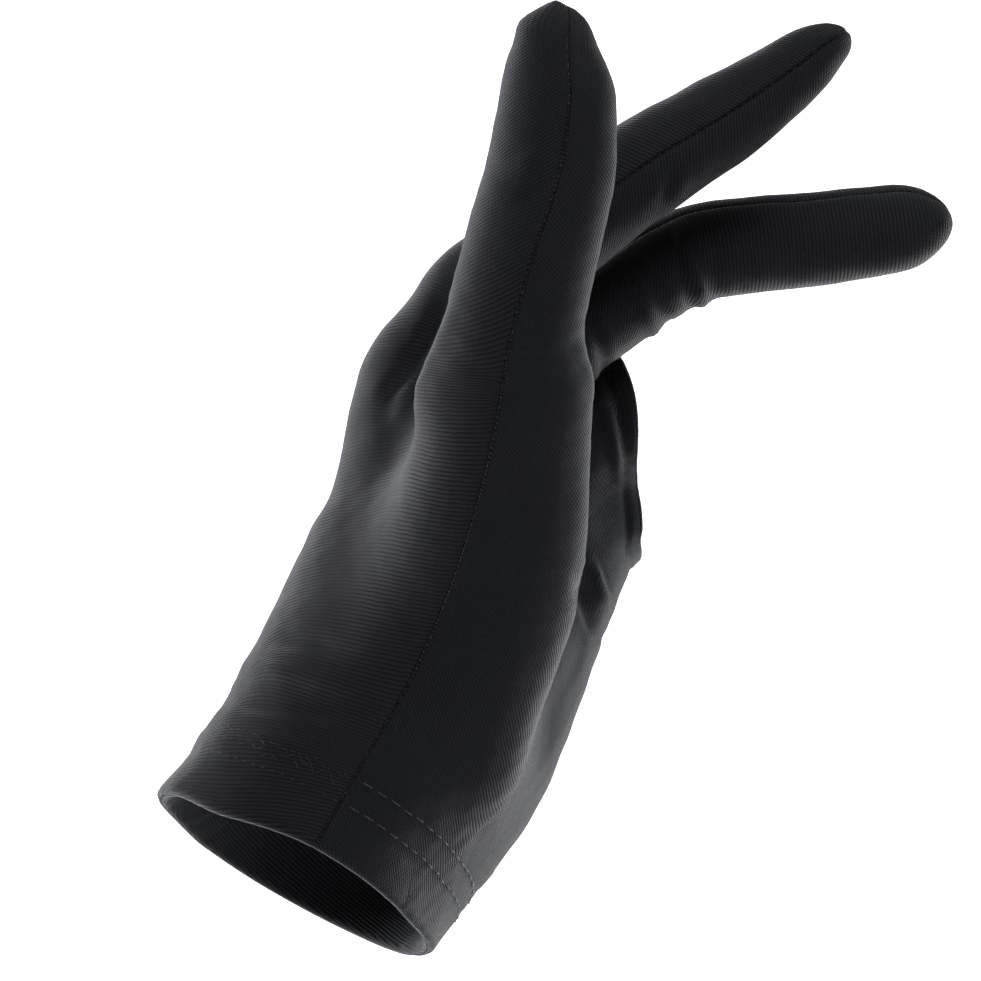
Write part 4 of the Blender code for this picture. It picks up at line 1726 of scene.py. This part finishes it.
@dataclass
class Studio:
    """Camera, lights, floor and backdrop."""

    lens: float = 148.8
    floor_drop: float = 0.32
    glow: float = 0.87
    fill: float = 0.13
    lights: tuple[SoftBox, ...] = (
        SoftBox("Left soft box", (-0.66, 0.36, 0.00), 0.6, 24.0),
        SoftBox("Right soft box", (0.44, 0.52, -0.23), 0.4, 12.0),
        SoftBox("Top soft box", (0.20, -0.35, 0.70), 0.5, 4.5),
        SoftBox("Backdrop light", (0.0, 0.9, 1.6), 1.2, 30.0, (0.0, 2.6, 0.1)),
    )

    def build(self) -> None:
        """Set up the studio."""
        self._camera()
        self._world()
        for light in self.lights:
            light.build()
        self._floor(StageFinish().build())

    def _camera(self) -> None:
        """The camera at the picture's angle."""
        camera = bpy.data.cameras.new("Camera")
        camera.lens, camera.sensor_width = self.lens, 36.0
        camera.clip_start, camera.clip_end = 0.05, 20.0
        piece = add_object("Camera", camera)
        piece.location = VIEWPOINT.tolist()
        piece.rotation_euler = (math.pi / 2, 0.0, 0.0)
        bpy.context.scene.camera = piece

    def _world(self) -> None:
        """Even white light from all round, brighter where it is looked at."""
        world = bpy.data.worlds.new("Studio")
        world.use_nodes = True
        g = Graph(world.node_tree)
        seen = g.node("ShaderNodeLightPath").outputs["Is Camera Ray"]
        g.feed(world.node_tree.nodes["Background"], {
            "Color": (1.0, 1.0, 1.0, 1.0),
            "Strength": g.math("MULTIPLY_ADD", seen, self.glow, self.fill),
        })
        bpy.context.scene.world = world
        bpy.context.scene.view_settings.view_transform = "Standard"

    def _floor(self, finish: bpy.types.Material) -> bpy.types.Object:
        """A wide pale floor that curves up into a backdrop behind the glove.

        Args:
            finish: its material.

        Returns:
            The floor's object.
        """
        bend, depth, reach, height = 1.2, 1.6, 5.0, 5.0
        profile = [(-reach, 0.0), (depth, 0.0)]
        profile += [(depth + bend * math.sin(a), bend * (1 - math.cos(a)))
                    for a in np.linspace(0.0, math.pi / 2, 25)[1:]]
        profile.append((depth + bend, height))
        corners = [(x, y, z - self.floor_drop) for y, z in profile for x in (-reach, reach)]
        faces = [(i, i + 1, i + 3, i + 2) for i in range(0, len(corners) - 2, 2)]
        mesh = bpy.data.meshes.new("Floor and backdrop")
        mesh.from_pydata(corners, [], faces)
        mesh.shade_smooth()
        mesh.materials.append(finish)
        return add_object("Floor and backdrop", mesh)


@dataclass
class Glove:
    """The whole glove: two panels, two hems and their stitches."""

    form: Form = field(default_factory=Form)
    plan: ClothPlan = field(default_factory=ClothPlan)
    edge: Edge = field(default_factory=Edge)
    loops_end: int = 24
    dots_end: int = 28

    def build(self) -> None:
        """Build every piece in order and hand it to the frame."""
        self.back = Panel(Role.BACK_PANEL, Side.BACK, self.form, self.plan, self.edge)
        self.palm = Panel(Role.PALM_PANEL, Side.PALM, self.form, ClothPlan(spread_passes=40),
                          self.edge, KnitLines(hand=0.85))
        for panel in (self.back, self.palm):
            panel.lay()
        sight = Sight((self.back, self.palm))
        for panel in (self.back, self.palm):
            self._finish(panel.build(sight), panel.role)
        cover = Cover(panel.surface for panel in (self.back, self.palm))
        for panel in (self.back, self.palm):
            thicken(panel.surface, self.edge.cloth)
        for role, depth, closed in ((Role.CUFF_HEM, CUFF_HEM_DEPTH, True),
                                    (Role.OPENING_HEM, OPENING_HEM_DEPTH, False)):
            piece = Hem(role, self.back, self.palm, depth, closed, self.edge).build()
            thicken(piece, self.edge.cloth)
            self._finish(piece, role)
        self._stitch(cover)

    def _finish(self, piece: bpy.types.Object, role: Role) -> None:
        """Dress a cloth piece and put it in place of its solids.

        Args:
            piece: the piece's object.
            role: which piece of the glove it is.
        """
        piece.data.materials.append(KnitFinish(f"Knit of {role.value}").build())
        nodes = [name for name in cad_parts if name.startswith(role.value)]
        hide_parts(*nodes)
        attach(piece, "root")

    def _stitch(self, cover: Cover) -> None:
        """Sew the seam, the hems and the loose stitches of the cuff.

        Args:
            cover: the cloth that the stitches lie on.
        """
        dark = ThreadFinish("Dark thread", (0.003, 0.003, 0.004), (0.010, 0.010, 0.012)).build()
        grey = ThreadFinish("Grey thread", (0.020, 0.021, 0.023), (0.055, 0.057, 0.062)).build()
        dim = ThreadFinish("Dim thread", (0.010, 0.0105, 0.012), (0.030, 0.031, 0.034)).build()
        sewing = (
            (Stitching("seam_stitches", Thread(0.00008, 0.0009, 0.0008, 0.00002), 3),
             dark, Role.PALM_PANEL, self.palm.seam_lines()),
            (Stitching("opening_stitches", Thread(0.00008, 0.0010, 0.0009, 0.00004), 5),
             dark, Role.PALM_PANEL,
             [panel.beside_opening(OPENING_ROW) for panel in (self.back, self.palm)]),
            (Stitching("cuff_stitches", Thread(0.00013, 0.0023, 0.0009, 0.00012, 0.00008), 7),
             grey, Role.PALM_PANEL,
             [self.palm.above_cuff(depth, 2, -1) for depth in CUFF_ROWS]),
            (Stitching("cuff_loops", Thread(0.00006, 0.0013, 0.0002, 0.00006, 0.0004, 0.32), 9),
             dim, Role.BACK_PANEL,
             [self.back.above_cuff(depth, 1, self.loops_end) for depth in CUFF_LOOP_ROWS]),
            (Stitching("cuff_dots", Thread(0.00007, 0.0007, 0.0014, 0.00005), 11),
             dim, Role.BACK_PANEL, [self.back.above_cuff(CUFF_DOT_ROW, 1, self.dots_end)]),
        )
        for stitching, finish, role, lines in sewing:
            for line in lines:
                stitching.add_row(line, cover)
            piece = stitching.build()
            piece.data.materials.append(finish)
            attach(piece, "root")


def main() -> None:
    """Build the glove and its studio."""
    logging.basicConfig(level=logging.INFO, format="%(name)s: %(message)s")
    Glove().build()
    Studio().build()


if __name__ == "__main__":
    main()
